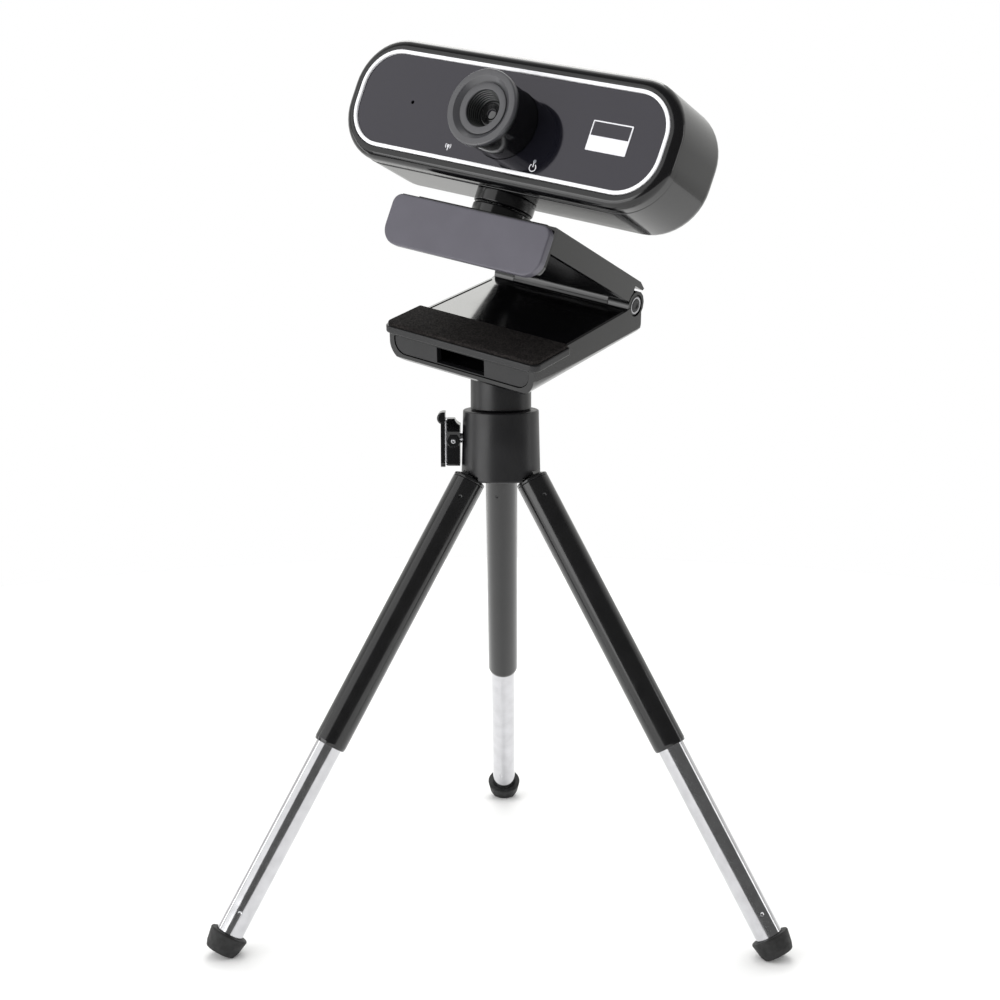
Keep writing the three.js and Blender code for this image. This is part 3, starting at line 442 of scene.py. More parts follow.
def metal(slot, colour, roughness, lines_mm, lines_depth, stretch):
    """Bare metal with fine working lines along one axis and a little clouding."""
    made = Finish(slot, Metallic=1.0)
    made.clouded(3.0, *shades(colour, 0.07), detail=5.0)
    made.rough(2.5, roughness * 0.75, roughness * 1.3, 5.0)
    made.grain(lines_mm, 3.0, lines_depth, stretch)
    return made


def rubber():
    made = Finish("black_rubber")
    made.clouded(1.5, (0.006, 0.006, 0.006), (0.013, 0.013, 0.0135), detail=4.0)
    made.rough(1.2, 0.5, 0.72, 3.0)
    made.grain(0.2, 3.0, 0.006)
    return made


def foam():
    """Closed-cell foam pad: skinned cells with soft patches of warmer dust, and painted shade darkening the
    low creases between the cells.
    """
    made = Finish("foam_pad", Specular_IOR_Level=0.12)
    cells = made.node("ShaderNodeTexVoronoi", {"Vector": made.position, "Scale": 1 / (0.42 * MM)})
    depth = made.ranged(cells.outputs["Distance"], 0.0, 1.0, (0.1, 0.75))
    dusty = made.ranged(made.noise(2.5, 5.0), 0, 1)
    patches = made.mixed(dusty, (0.016, 0.014, 0.0135), (0.034, 0.030, 0.028))
    # Painted shade: the deep creases between cells are painted near black over the dust patches.
    made.colour(made.mixed(depth, patches, (0.007, 0.006, 0.006)))
    made.rough(1.0, 0.82, 0.97)
    made.grain(0.25, 4.0, 0.03)
    made.bump(depth, -0.05)
    return made


def nylon():
    made = Finish("natural_nylon", Subsurface_Weight=0.15)
    made.clouded(2.0, (0.58, 0.56, 0.50), (0.68, 0.66, 0.60))
    made.rough(1.5, 0.42, 0.58)
    made.grain(0.3, 3.0, 0.004)
    return made


def circuit_board():
    """Green mask over tracks that run in rows."""
    made = Finish("circuit_board", Coat_Weight=0.3)
    tracks = made.node(
        "ShaderNodeTexBrick",
        {"Vector": made.position, "Scale": 1 / (3.0 * MM), "Mortar Size": 0.03, "Brick Width": 1.4},
    ).outputs["Fac"]
    made.colour(made.mixed(tracks, (0.006, 0.065, 0.022), (0.02, 0.13, 0.045)))
    made.rough(1.0, 0.3, 0.45)
    made.bump(tracks, 0.02)
    return made


def lens_glass():
    """Coated lens glass, black behind, with a faint green and violet coating colour."""
    made = Finish("lens_glass", Coat_Weight=1.0, Coat_Roughness=0.01, Specular_IOR_Level=0.9)
    made.clouded(1.6, (0.002, 0.006, 0.005), (0.008, 0.005, 0.012))
    made.rough(2.0, 0.02, 0.05)
    made.grain(4.0, 1.0, 0.0005)
    return made


def plain_badge():
    made = Finish("plain_badge")
    made.clouded(3.0, (0.70, 0.70, 0.73), (0.80, 0.80, 0.83))
    made.rough(1.5, 0.35, 0.5)
    made.grain(0.2, 2.0, 0.001)
    return made


def light_pipe():
    made = Finish("light_pipe_clear", Transmission_Weight=0.7, Coat_Weight=0.5)
    made.clouded(0.8, (0.55, 0.60, 0.70), (0.70, 0.74, 0.82))
    made.rough(0.6, 0.15, 0.3)
    made.grain(0.4, 3.0, 0.002)
    return made


GLOSS = gloss_black()
SATIN = satin_black()
VIOLET = violet_grey()
PANEL = panel_grey()
TRIM = white_trim()
PAINT = leg_paint()
POLISHED = metal("polished_tube", (0.62, 0.62, 0.64), 0.13, 0.35, 0.0022, DRAWN)
STEEL = metal("plated_steel", (0.58, 0.58, 0.60), 0.26, 0.2, 0.003, LATHED)
BRASS = metal("brass_thread", (0.62, 0.42, 0.16), 0.30, 0.2, 0.003, LATHED)
RUBBER = rubber()
FOAM = foam()
NYLON = nylon()
BOARD = circuit_board()
GLASS = lens_glass()
BADGE = plain_badge()
CLEAR = light_pipe()


# ---------------------------------------------------------------------------------------------------------
# Pieces
# ---------------------------------------------------------------------------------------------------------


def bevelled(solid, width):
    edges = [edge for edge in solid.edges if edge.is_manifold and edge.calc_face_angle() > SHARP]
    bmesh.ops.bevel(
        solid, geom=edges, offset=width * MM, segments=3, profile=0.5, affect="EDGES", clamp_overlap=True
    )


def piece(name, shape, place, body, finish, stands_for=(), bevel=0.0):
    """Makes a new piece at its place, riding on a body, and standing for the CAD nodes that it refines."""
    mesh = mesh_of(name, shape, MM)
    solid = bmesh.new()
    solid.from_mesh(mesh)
    if bevel:
        bmesh.ops.dissolve_limit(solid, angle_limit=math.radians(0.5), verts=solid.verts, edges=solid.edges)
        bevelled(solid, bevel)
    for face in solid.faces:
        face.smooth = True
    for edge in solid.edges:
        edge.smooth = edge.is_manifold and edge.calc_face_angle() < SHARP
    solid.to_mesh(mesh)
    solid.free()
    mesh.materials.append(finish.material)
    made = bpy.data.objects.new(name, mesh)
    bpy.context.scene.collection.objects.link(made)
    made.matrix_world = place
    made.modifiers.new("even_shading", "WEIGHTED_NORMAL").keep_sharp = True
    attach(made, body)
    if stands_for:
        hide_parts(*stands_for)
    return made


def refined(node, *arguments, **options):
    """A new piece that stands for one CAD node."""
    return piece(f"{node}_surface", *arguments, stands_for=(node,), **options)


def edge_smoothing():
    """Node group that shades a CAD node smooth except at its real edges."""
    group = bpy.data.node_groups.new("edge_smoothing", "GeometryNodeTree")
    group.interface.new_socket("Geometry", in_out="INPUT", socket_type="NodeSocketGeometry")
    group.interface.new_socket("Geometry", in_out="OUTPUT", socket_type="NodeSocketGeometry")
    nodes, links = group.nodes, group.links
    entry = nodes.new("NodeGroupInput")
    leave = nodes.new("NodeGroupOutput")
    faces = nodes.new("GeometryNodeSetShadeSmooth")
    faces.domain = "FACE"
    edges = nodes.new("GeometryNodeSetShadeSmooth")
    edges.domain = "EDGE"
    edges.inputs["Shade Smooth"].default_value = False
    angle = nodes.new("GeometryNodeInputMeshEdgeAngle")
    compare = nodes.new("FunctionNodeCompare")
    compare.operation = "GREATER_THAN"
    compare.inputs["B"].default_value = SHARP
    links.new(angle.outputs["Unsigned Angle"], compare.inputs["A"])
    links.new(compare.outputs["Result"], edges.inputs["Selection"])
    links.new(entry.outputs[0], faces.inputs["Geometry"])
    links.new(faces.outputs[0], edges.inputs["Geometry"])
    links.new(edges.outputs[0], leave.inputs[0])
    return group


SMOOTHING = edge_smoothing()


def kept(node, finish, bevel=0.12):
    """Keeps a CAD node as it is, and gives it softened edges and a material."""
    solid = frame["nodes"][node]
    solid.data.materials.clear()
    solid.data.materials.append(finish.material)
    solid.modifiers.new("weld", "WELD").merge_threshold = 1e-6
    flat = solid.modifiers.new("flat_faces", "DECIMATE")
    flat.decimate_type = "DISSOLVE"
    flat.angle_limit = math.radians(0.4)
    edge = solid.modifiers.new("soft_edges", "BEVEL")
    edge.width = bevel * MM
    edge.segments = 3
    edge.limit_method = "ANGLE"
    edge.angle_limit = SHARP
    solid.modifiers.new("shading", "NODES").node_group = SMOOTHING
    solid.modifiers.new("even_shading", "WEIGHTED_NORMAL").keep_sharp = True


# ---------------------------------------------------------------------------------------------------------
# Tripod
# ---------------------------------------------------------------------------------------------------------

HUB = {"bottom": 108.4, "top": 125.4, "low_radius": 9.75, "top_radius": 9.3, "bore": 4.7, "bore_floor": 116.2}
CAVITY = {"radius": 7.9, "top": 114.4}
LEG = {
    "pivot_radius": 6.5,
    "radius": 4.0,
    "bore": 3.5,
    "start": 3.75,
    "end": 76.8,
    "inner_radius": 3.25,
    "inner_bore": 2.75,
    "inner_start": 61.0,
    "foot_rim": 126.7,
    "foot_end": 131.2,
    "spread": 32.0,
    "lug_slot": 1.5,
}
POST_RADIUS = 7.43
PIVOT_HEIGHT = 112.35
SCREW_HEIGHT = 118.4


def leg_room(turn):
    """Round-topped room in the hub for one leg's head, at rest, half folded and folded."""
    cutters = []
    for tilt in (LEG["spread"], LEG["spread"] / 2, 0):
        head_room = rod(LEG["radius"] + 0.3, -20, -LEG["start"] + 0.3, 64)
        leaning = spun(head_room, tilt, "X")
        out = shifted(leaning, y=LEG["pivot_radius"], z=PIVOT_HEIGHT)
        cutters.append(spun(out, turn, "Z"))
    slot = block((-LEG["lug_slot"], LEG["lug_slot"]), (0, 8.7), (HUB["bottom"] - 2, CAVITY["top"] + 0.2))
    cutters.append(spun(slot, turn, "Z"))
    return cutters


def hub_shape():
    body = turned(
        [
            (0, HUB["bottom"]),
            (HUB["low_radius"], HUB["bottom"], 0.5),
            (HUB["top_radius"], HUB["top"], 0.4),
            (0, HUB["top"]),
        ],
        facets=128,
    )
    bore = rod(HUB["bore"] + 0.02, HUB["bore_floor"], HUB["top"] + 2, 64)
    cavity = rod(CAVITY["radius"] + 0.02, HUB["bottom"] - 1, CAVITY["top"], 64)
    cutters = [bore, cavity]
    for turn in (0, 120, 240):
        cutters += leg_room(turn)
    cutters.append(shifted(spun(rod(1.46, -HUB["low_radius"] - 1, 0), 90, "Y"), z=SCREW_HEIGHT))
    return cut(body, *cutters)


def neck_shape():
    ball_height = joint_point("ball_tilt").z / MM
    top = ball_height + 1.5
    cup = 5.7
    return turned(
        [
            (0, HUB["bore_floor"] + 0.3),
            (4.64, HUB["bore_floor"] + 0.3, 0.4),
            (4.64, SCREW_HEIGHT - 1.5),
            (4.14, SCREW_HEIGHT - 1.0),
            (4.14, SCREW_HEIGHT + 1.0),
            (4.64, SCREW_HEIGHT + 1.5),
            (4.64, HUB["top"] + 0.2),
            (POST_RADIUS, HUB["top"] + 0.2, 0.3),
            (POST_RADIUS, top, 0.55),
            (cup, top, 0.2),
            (cup, ball_height),
            (cup * 0.72, ball_height - cup * 0.7),
            (0, ball_height - cup),
        ],
        facets=128,
    )


def knuckle_shape():
    """Collar that closes the painted tube, with the tongue that swings between the spider's lugs."""
    top = -LEG["start"]
    plug = turned(
        [
            (0, top - 9),
            (LEG["bore"] - 0.02, top - 9, 0.3),
            (LEG["bore"] - 0.02, top - 1.1),
            (LEG["radius"], top - 1.1, 0.12),
            (LEG["radius"], top - 0.45, 0.3),
            (LEG["radius"] - 0.9, top, 0.4),
            (0, top),
        ]
    )
    eye = spun(rod(1.9, -1.3, 1.3), 90, "Y")
    tongue = block((-1.3, 1.3), (-1.9, 1.9), (top - 0.5, 0))
    hole = spun(rod(0.86, -3, 3), 90, "Y")
    return cut(fused(plug, eye, tongue), hole)


def staking(height, count, radius, phase):
    """Punch marks round a tube, where what is inside it is held."""
    marks = []
    for index in range(count):
        mark = turned([(0, -0.42), (0.5, 0.0), (0.62, 0.5), (0, 0.5)], 0.1, facets=24)
        outward = shifted(spun(mark, 90, "Y"), x=radius - 0.05, z=height)
        marks.append(spun(outward, phase + index * 360 / count, "Z"))
    return marks


def painted_tube_shape(phase):
    top = -LEG["start"] - 1.15
    body = turned(
        [
            (LEG["bore"], -LEG["end"], 0.08),
            (LEG["radius"] - 0.18, -LEG["end"], 0.2),
            (LEG["radius"], -LEG["end"] + 0.8, 0.8),
            (LEG["radius"], top, 0.18),
            (LEG["bore"], top, 0.05),
        ],
        hollow=True,
    )
    return cut(body, *staking(top - 4.6, 3, LEG["radius"], phase))


def polished_tube_shape(phase):
    bottom = -LEG["foot_end"] + 1.6
    body = turned(
        [
            (LEG["inner_bore"], bottom),
            (LEG["inner_radius"], bottom),
            (LEG["inner_radius"], -LEG["inner_start"], 0.2),
            (LEG["inner_bore"], -LEG["inner_start"], 0.05),
        ],
        0.1,
        hollow=True,
    )
    return cut(body, *staking(-LEG["foot_rim"] + 6.0, 3, LEG["inner_radius"], phase))


def foot_shape(place):
    """Flared rubber cup, worn flat where it meets the table."""
    rim, end = -LEG["foot_rim"], -LEG["foot_end"]
    bore = LEG["inner_radius"] + 0.02
    points, faces = turned(
        [
            (0, end),
            (3.55, end, 0.6),
            (4.1, end + 1.4, 1.2),
            (4.55, rim - 0.6, 0.5),
            (4.66, rim, 0.2),
            (4.5, rim + 0.3, 0.12),
            (bore, rim + 0.3, 0.1),
            (bore, end + 1.5),
            (0, end + 1.5),
        ]
    )
    grounded = []
    for point in points:
        world = place @ (Vector(point) * MM)
        world.z = max(world.z, 0.0)
        grounded.append(tuple(place.inverted() @ world / MM))
    return grounded, faces


def build_tripod():
    refined("hub_shell", hub_shape(), tripod, "hub", SATIN, bevel=0.14)
    refined("neck_post", neck_shape(), tripod, "neck", SATIN)
    kept("leg_spider", SATIN)
    kept("spider_screw", STEEL)
    kept("ball_seat", NYLON, 0.05)
    kept("ball_stud", STEEL, 0.05)
    phases = {"rear": 255, "left": 30, "right": 285}
    for name, place in legs.items():
        leg_body, slider_body = f"leg_{name}", f"slider_{name}"
        kept(f"leg_pin_{name}", STEEL, 0.06)
        kept(f"leg_bush_{name}", NYLON, 0.06)
        refined(f"leg_knuckle_{name}", knuckle_shape(), place, leg_body, PAINT)
        refined(f"leg_tube_{name}", painted_tube_shape(phases[name]), place, leg_body, PAINT)
        refined(f"leg_slider_{name}", polished_tube_shape(phases[name]), place, slider_body, POLISHED)
        refined(f"foot_{name}", foot_shape(place), place, slider_body, RUBBER)


# ---------------------------------------------------------------------------------------------------------
# Clamp knob: +Z outwards along the screw, +Y up
# ---------------------------------------------------------------------------------------------------------

KNOB = {"inner": 9.95, "body_outer": 13.1, "plate_outer": 13.6, "wing_outer": 14.7}
SHANK_ROOM = 1.43


def knob_body_shape():
    outline = [
        (-3.4, -6.6), (3.4, -6.6), (3.1, -1.6, 0.5), (3.6, 2.0, 0.4),
        (1.6, 4.9, 0.5), (-1.6, 4.9, 0.5), (-3.6, 2.0, 0.4), (-3.1, -1.6, 0.5),
    ]
    body = prism(rounded(outline, 0.5), KNOB["inner"], KNOB["body_outer"], "z")
    waist = shifted(spun(rod(2.4, -5, 5), 90, "Y"), y=5.6, z=KNOB["inner"] - 0.9)
    return cut(body, rod(SHANK_ROOM, 0, 20), waist)


def on_knob_side(shape):
    """A shape drawn along +Z, turned to stand on the side of the knob, where its cross pin ends."""
    return shifted(spun(shape, 90, "Y"), y=-0.4, z=(KNOB["inner"] + KNOB["body_outer"]) / 2)


def knob_boss_shape():
    """Six-sided boss round the end of the cross pin."""
    hexagon = [(x, y) for x, y, _ in circle(1.75, 0, 6)]
    return on_knob_side(prism(rounded(hexagon, 0.15), 2.6, 3.75, "z"))


def knob_cross_pin_shape():
    section = [(0, 2.8), (0.62, 2.8), (0.62, 3.95, 0.2), (0.3, 3.95), (0, 3.85)]
    return on_knob_side(turned(section, 0.05, facets=48))


def knob_plate_shape():
    outline = rounded([(-3.2, -6.6), (3.2, -6.6), (3.2, 4.8), (-3.2, 4.8)], 0.8)
    return cut(prism(outline, KNOB["body_outer"] + 0.03, KNOB["plate_outer"], "z"), rod(SHANK_ROOM, 0, 20))


def knob_wing_shape():
    outline = [(-2.7, -7.1, 1.2), (2.7, -7.1, 1.2), (2.7, 5.3, 2.5), (-2.7, 5.3, 2.5)]
    blade = prism(rounded(outline, steps=8), KNOB["plate_outer"] + 0.03, KNOB["wing_outer"], "z")
    tip = turned([(0, -2.5), (1.55, -2.5, 0.5), (1.55, 2.5, 0.5), (0, 2.5)], facets=64)
    tip = shifted(spun(tip, 90, "Y"), y=5.0, z=KNOB["wing_outer"] - 0.6)
    inside = block((-4, 4), (-9, 9), (KNOB["plate_outer"] - 4, KNOB["plate_outer"] + 0.03))
    return cut(fused(blade, tip), inside, rod(SHANK_ROOM, 0, KNOB["wing_outer"] - 0.8))


def build_knob():
    kept("clamp_screw", STEEL, 0.1)
    refined("knob_body", knob_body_shape(), clamp, "clamp", GLOSS, bevel=0.22)
    piece("knob_boss", knob_boss_shape(), clamp, "clamp", GLOSS, bevel=0.12)
    piece("knob_cross_pin", knob_cross_pin_shape(), clamp, "clamp", STEEL)
    refined("knob_plate", knob_plate_shape(), clamp, "clamp", STEEL, bevel=0.1)
    refined("knob_wing", knob_wing_shape(), clamp, "clamp", GLOSS, bevel=0.25)


# ---------------------------------------------------------------------------------------------------------
# Clamp jaw and arm
# ---------------------------------------------------------------------------------------------------------

CARRIER = {"half": 22.6, "front": -17.2, "rear": -2.9, "bottom": 12.35, "top": 14.1}
POCKET = {"half": 19.9, "bottom": 7.2, "top": 11.8}
JAW = {"front": -16.2, "half": 21.3, "rear_half": 20.5, "rear": 31.0, "top": 14.0}
HINGE = {"y": 28.6, "z": 14.0, "half": 20.4}
LIP = {"half": 22.4, "front": -50.0, "rear": -47.75, "bottom": -6.8, "top": 5.3}
NECK = {"y": -38.0, "radius": 7.2, "spigot": 6.4, "bore": 2.06}  # the head's swivel


def carrier_shape():
    outline = (CARRIER["half"], (CARRIER["rear"] - CARRIER["front"]) / 2, 2.2, 0.8)
    plate = laid_flat(slab(outline, CARRIER["bottom"], CARRIER["top"], 0.35))
    return shifted(plate, y=(CARRIER["rear"] + CARRIER["front"]) / 2)


def pad_shape():
    """Foam pad, its cut edge a little soft and its top crowned."""
    bottom, top = CARRIER["top"] + 0.02, CARRIER["top"] + 0.85
    outline = (CARRIER["half"] - 0.5, (CARRIER["rear"] - CARRIER["front"]) / 2 - 0.4, 1.9, 0.6)
    edge = rounded([(0.4, bottom), (0.0, bottom), (0.0, top, 0.35), (1.2, top + 0.05)], 0.1, closed=False)
    crown = [(1.2 + 3.6 * t, top + 0.05 + 0.05 * math.sin(t * math.pi / 2)) for t in (0.25, 0.5, 0.75, 1.0)]
    pad = laid_flat(skin(levels(outline, edge + crown)))
    return shifted(pad, y=(CARRIER["rear"] + CARRIER["front"]) / 2)


def cover_shape():
    half_height = (POCKET["top"] - POCKET["bottom"]) / 2 - 0.1
    front = JAW["front"]
    face = slab((POCKET["half"] - 0.1, half_height, 3.2, 0.4), front + 0.2, front + 1.9, 0.18)
    slot = block((-7, 7), (front - 1, front + 3), (-half_height + 0.35, half_height - 0.15))
    return shifted(cut(face, slot), z=(POCKET["top"] + POCKET["bottom"]) / 2)


def rim_shape(side):
    """Thin raised rim along one side of the jaw's top."""
    start, end = CARRIER["rear"] + 0.5, HINGE["y"] - 5.5
    depth = JAW["rear"] - JAW["front"]
    edge = [JAW["half"] - (JAW["half"] - JAW["rear_half"]) * (y - JAW["front"]) / depth for y in (start, end)]
    outline = [(edge[0] - 1.0, start), (edge[0] - 0.35, start), (edge[1] - 0.35, end), (edge[1] - 1.0, end)]
    outline = [(side * x, y) for x, y in outline]
    return prism(outline, JAW["top"] - 0.1, JAW["top"] + 0.2, "z")


def hinge_cap_shape(side):
    """Domed round cap in the end of the hinge, with a ring groove and a dimple."""
    end = HINGE["half"]
    cap = turned(
        [
            (0, end - 1.0), (2.65, end - 1.0, 0.1), (2.65, end - 0.25, 0.25), (2.1, end, 0.1),
            (2.0, end - 0.22, 0.08), (1.75, end - 0.22, 0.08), (1.65, end + 0.02, 0.1),
            (0.9, end + 0.05, 0.1), (0.7, end - 0.15, 0.1), (0, end - 0.2),
        ],
        facets=72,
    )
    return shifted(spun(cap, 90 * side, "Y"), y=HINGE["y"], z=HINGE["z"])


def lip_shape():
    outline = (LIP["half"], (LIP["top"] - LIP["bottom"]) / 2, 4.4, 2.4)
    return shifted(slab(outline, LIP["front"], LIP["rear"], 0.4), z=(LIP["top"] + LIP["bottom"]) / 2)


def lower_collar_shape():
    radius = NECK["radius"] - 0.1
    section = [(NECK["bore"], 5.25), (radius, 5.25, 0.15), (radius, 8.6, 0.45), (NECK["bore"], 8.6)]
    return shifted(turned(section, 0.1, hollow=True, facets=128), y=NECK["y"])


def build_clamp():
    kept("jaw_shell", GLOSS, 0.25)
    kept("thread_insert", BRASS, 0.08)
    kept("hinge_pin", STEEL, 0.08)
    kept("hinge_nut", STEEL, 0.08)
    refined("jaw_cover", cover_shape(), jaw, "jaw", SATIN, bevel=0.1)
    refined("pad_carrier", carrier_shape(), jaw, "jaw", SATIN)
    pad = refined("foam_pad", pad_shape(), jaw, "jaw", FOAM)
    for side, name in ((-1, "left"), (1, "right")):
        piece(f"hinge_cap_{name}", hinge_cap_shape(side), jaw, "jaw", SATIN)
        piece(f"jaw_rim_{name}", rim_shape(side), jaw, "jaw", GLOSS, bevel=0.08)
    kept("clip_arm", GLOSS, 0.25)
    kept("arm_lid", SATIN, 0.15)
    kept("swivel_washer", STEEL, 0.08)
    refined("lip_cover", lip_shape(), arm, "arm", VIOLET)
    refined("lower_collar", lower_collar_shape(), arm, "arm", GLOSS)


# ---------------------------------------------------------------------------------------------------------
# Head
# ---------------------------------------------------------------------------------------------------------

MIDDLE = 15.1  # height of the case's middle over the swivel's top
CASE = (45.5, 15.2, 13.0, 13.0)
CASE_DEPTH = {"parting": -7.1, "rear": 11.9, "round": 6.5, "wall": 1.8}
BEZEL = (45.7, 15.0, 12.8, 12.8)
WINDOW = (43.08, 12.08, 9.88, 9.88)
TRIM_OUTLINE = (43.0, 12.0, 9.8, 9.8)
TRIM_WIDTH = 0.9
PANEL_FRONT = -11.0
BARREL = {"radius": 8.3, "bore": 7.0, "flange": 9.5, "end": 20.3}
NOSE = 22.2  # front of the focus ring, along the lens's axis
RING_DEPTH = 1.7
# Lens rings with a painted highlight on their front faces and painted shade in the well.
RING = lens_ring(NOSE - 1.0)
GLAND = {"x": -16.0, "z": 11.8, "radius": 2.6}
SCREWS = (-36.0, 36.0)
MICROPHONE = (-26.6, 15.1)
LIGHT = (11.8, 7.0)
BADGE_SPOT = {"x": 28.8, "z": 15.2, "half": 5.2, "half_height": 3.45}


def facing_front(shape, x=0.0, z=0.0):
    """A shape drawn along +Z, turned to face the subject."""
    return shifted(spun(shape, 90, "X"), x=x, z=z)


def case_shape():
    """Rear half of the case: a hollow shell, rounded behind, with its holes."""
    parting, rear = CASE_DEPTH["parting"], CASE_DEPTH["rear"]
    bend, wall = CASE_DEPTH["round"], CASE_DEPTH["wall"]
    inside = [(bend + 1, rear - wall), (wall, rear - wall, bend - wall), (wall, parting, 0.1)]
    outside = [(0, parting, 0.3), (0, rear, bend), (bend + 1, rear)]
    shell = skin(levels(CASE, rounded(inside + outside, closed=False, steps=12)))
    holes = [rod(NECK["spigot"] + 0.15, -3 - MIDDLE, 1.1 - MIDDLE, 96)]
    holes.append(facing_front(rod(GLAND["radius"], -rear - 2, 0), GLAND["x"], GLAND["z"] - MIDDLE))
    for x in SCREWS:
        holes.append(facing_front(rod(2.3, -rear - 2, -rear + 1.75), x))
    return shifted(cut(shell, *holes), z=MIDDLE)


def bezel_shape():
    rear = -7.25
    front = -11.3
    roll = 2.1
    turns = [math.pi / 2 * step / 12 for step in range(13)]
    rim = [(0, rear)] + [(roll * (1 - math.cos(t)), front + roll * (1 - math.sin(t))) for t in turns]
    mouth = rounded(
        [(-0.5, front), (0, front, 0.25), (0, -9.05), (1.52, -9.05), (1.52, rear)], 0.1, closed=False
    )
    return shifted(skin(levels(BEZEL, rim) + levels(WINDOW, mouth), closed=True), z=MIDDLE)


def trim_shape():
    outline = rounded([(0, -9.6), (0, -11.55, 0.25), (TRIM_WIDTH, -11.55, 0.25), (TRIM_WIDTH, -9.6)], 0.05)
    return shifted(skin(levels(TRIM_OUTLINE, outline), closed=True), z=MIDDLE)


def panel_shape():
    inset = TRIM_WIDTH + 0.03
    outline = tuple(size - inset for size in TRIM_OUTLINE)
    sheet = shifted(slab(outline, PANEL_FRONT, -9.4, 0.08), z=MIDDLE)
    lens_hole = facing_front(rod(BARREL["radius"] + 0.12, 0, 20, 128), lens_offset.x / MM, lens_offset.z / MM)
    sound_hole = facing_front(rod(0.45, 0, 20), *MICROPHONE)
    light_hole = facing_front(rod(0.5, 0, 20), *LIGHT)
    return cut(sheet, lens_hole, sound_hole, light_hole)


def badge_shape():
    outline = (BADGE_SPOT["half"], BADGE_SPOT["half_height"], 0.25, 0.25)
    plate = slab(outline, PANEL_FRONT - 0.22, PANEL_FRONT - 0.01, 0.05)
    return shifted(plate, x=BADGE_SPOT["x"], z=BADGE_SPOT["z"])


def badge_field_shape():
    """Dark upper half of the blank badge, inside its light border."""
    border = 0.32
    half_height = BADGE_SPOT["half_height"]
    outline = (BADGE_SPOT["half"] - border, (half_height - border) / 2, 0.1, 0.1)
    field = slab(outline, PANEL_FRONT - 0.26, PANEL_FRONT - 0.1, 0.02)
    return shifted(field, x=BADGE_SPOT["x"], z=BADGE_SPOT["z"] + (half_height - border) / 2)


def arc_band(radius, width, start, end):
    """Flat curved stroke facing the subject, between two angles in degrees, printed on the panel."""
    steps = 20
    outer, inner = [], []
    for step in range(steps + 1):
        angle = math.radians(start + (end - start) * step / steps)
        outer.append(((radius + width / 2) * math.cos(angle), (radius + width / 2) * math.sin(angle)))
        inner.append(((radius - width / 2) * math.cos(angle), (radius - width / 2) * math.sin(angle)))
    return prism(outer + inner[::-1], PANEL_FRONT - 0.04, PANEL_FRONT + 0.02, "y")


def stroke(x0, x1, z0, z1):
    return block((x0, x1), (PANEL_FRONT - 0.04, PANEL_FRONT + 0.02), (z0, z1))


def together(*shapes):
    points, faces = [], []
    for shape_points, shape_faces in shapes:
        base = len(points)
        points += shape_points
        faces += [[base + index for index in face] for face in shape_faces]
    return points, faces


def power_icon_shape():
    ring = arc_band(0.85, 0.2, 125, 415)
    return shifted(together(ring, stroke(-0.1, 0.1, 0.15, 1.2)), x=LIGHT[0], z=5.5)


def microphone_icon_shape():
    """A stem with a round head, and a wave to each side of it."""
    mast = together(stroke(-0.1, 0.1, -1.1, 0.0), arc_band(0.28, 0.2, 0, 360))
    waves = [arc_band(0.75, 0.17, side - 42, side + 42) for side in (0, 180)]
    return shifted(together(mast, *waves), x=-12.6, z=6.6)


def barrel_shape():
    """Fixed lens sleeve, with two index lines and locating dots on it."""
    radius, bore, flange, end = BARREL["radius"], BARREL["bore"], BARREL["flange"], BARREL["end"]
    sleeve = turned(
        [(bore, 6.6), (flange, 6.6), (flange, 9.1), (radius, 9.3), (radius, end, 0.25), (bore, end)],
        0.1,
        hollow=True,
        facets=128,
    )
    marks = []
    for turn in (-62, -8, 46):
        line = block((radius - 0.08, radius + 1), (-0.06, 0.06), (15.2, end + 1))
        dot = shifted(spun(rod(0.2, -0.08, 1, 16), 90, "Y"), x=radius, z=14.4)
        marks += [spun(line, turn, "Z"), spun(dot, turn, "Z")]
    return cut(sleeve, *marks)


def focus_ring_shape():
    rear = NOSE - RING_DEPTH
    return turned(
        [
            (6.1, rear), (8.9, rear, 0.15), (8.9, NOSE, 0.35), (7.3, NOSE, 0.12),
            (6.25, NOSE - 1.05, 0.08), (6.1, NOSE - 1.05, 0.05),
        ],
        0.1,
        hollow=True,
        facets=128,
    )


def lens_tube_shape():
    """Threaded lens tube: a flat front ring, a stepped light trap, and the lip that holds the glass."""
    section = [
        (2.95, 4.0), (4.12, 4.0), (4.12, 8.0), (5.7, 8.0), (5.7, NOSE - 2.2), (6.03, NOSE - 2.0),
        (6.03, NOSE - 0.8, 0.15), (4.4, NOSE - 0.8, 0.12),
    ]
    for step in range(6):
        radius = 4.25 - 0.2 * step
        height = NOSE - 1.1 - 0.55 * step
        section += [(radius, height), (radius, height - 0.4), (radius - 0.15, height - 0.46)]
    section += [(2.95, NOSE - 4.5)]
    return turned(section, 0.04, hollow=True, facets=128)


def glass_shape():
    """Front glass, domed."""
    low, radius = NOSE - 6.6, 2.85
    slopes = [1.5 - 0.25 * k for k in range(7)]
    dome = [(radius * math.sin(slope), low + 1.0 + 0.9 * math.cos(slope)) for slope in slopes]
    return turned([(0, low), (radius, low), *dome[:-1], (0, low + 1.9)], 0.0, facets=96)


def retaining_ring_shape():
    """Dished ring over the glass that leaves a small opening, with concentric ridges."""
    low = NOSE - 4.9
    section = [(1.05, low - 0.1), (2.9, low - 0.1), (2.9, low + 0.5), (2.5, low + 0.5)]
    for radius in (2.2, 1.8, 1.4):
        section += [(radius + 0.12, low + 0.22), (radius, low + 0.34), (radius - 0.12, low + 0.16)]
    return turned(section + [(1.05, low + 0.12)], 0.03, hollow=True)


def upper_collar_shape():
    radius, spigot = NECK["radius"], NECK["spigot"]
    outside = [(radius, -3.1, 0.45), (radius, -0.1, 0.2), (spigot, -0.1), (spigot, 0.9)]
    section = [(NECK["bore"], -3.1), *outside, (NECK["bore"], 0.9)]
    return turned(section, 0.1, hollow=True, facets=128)


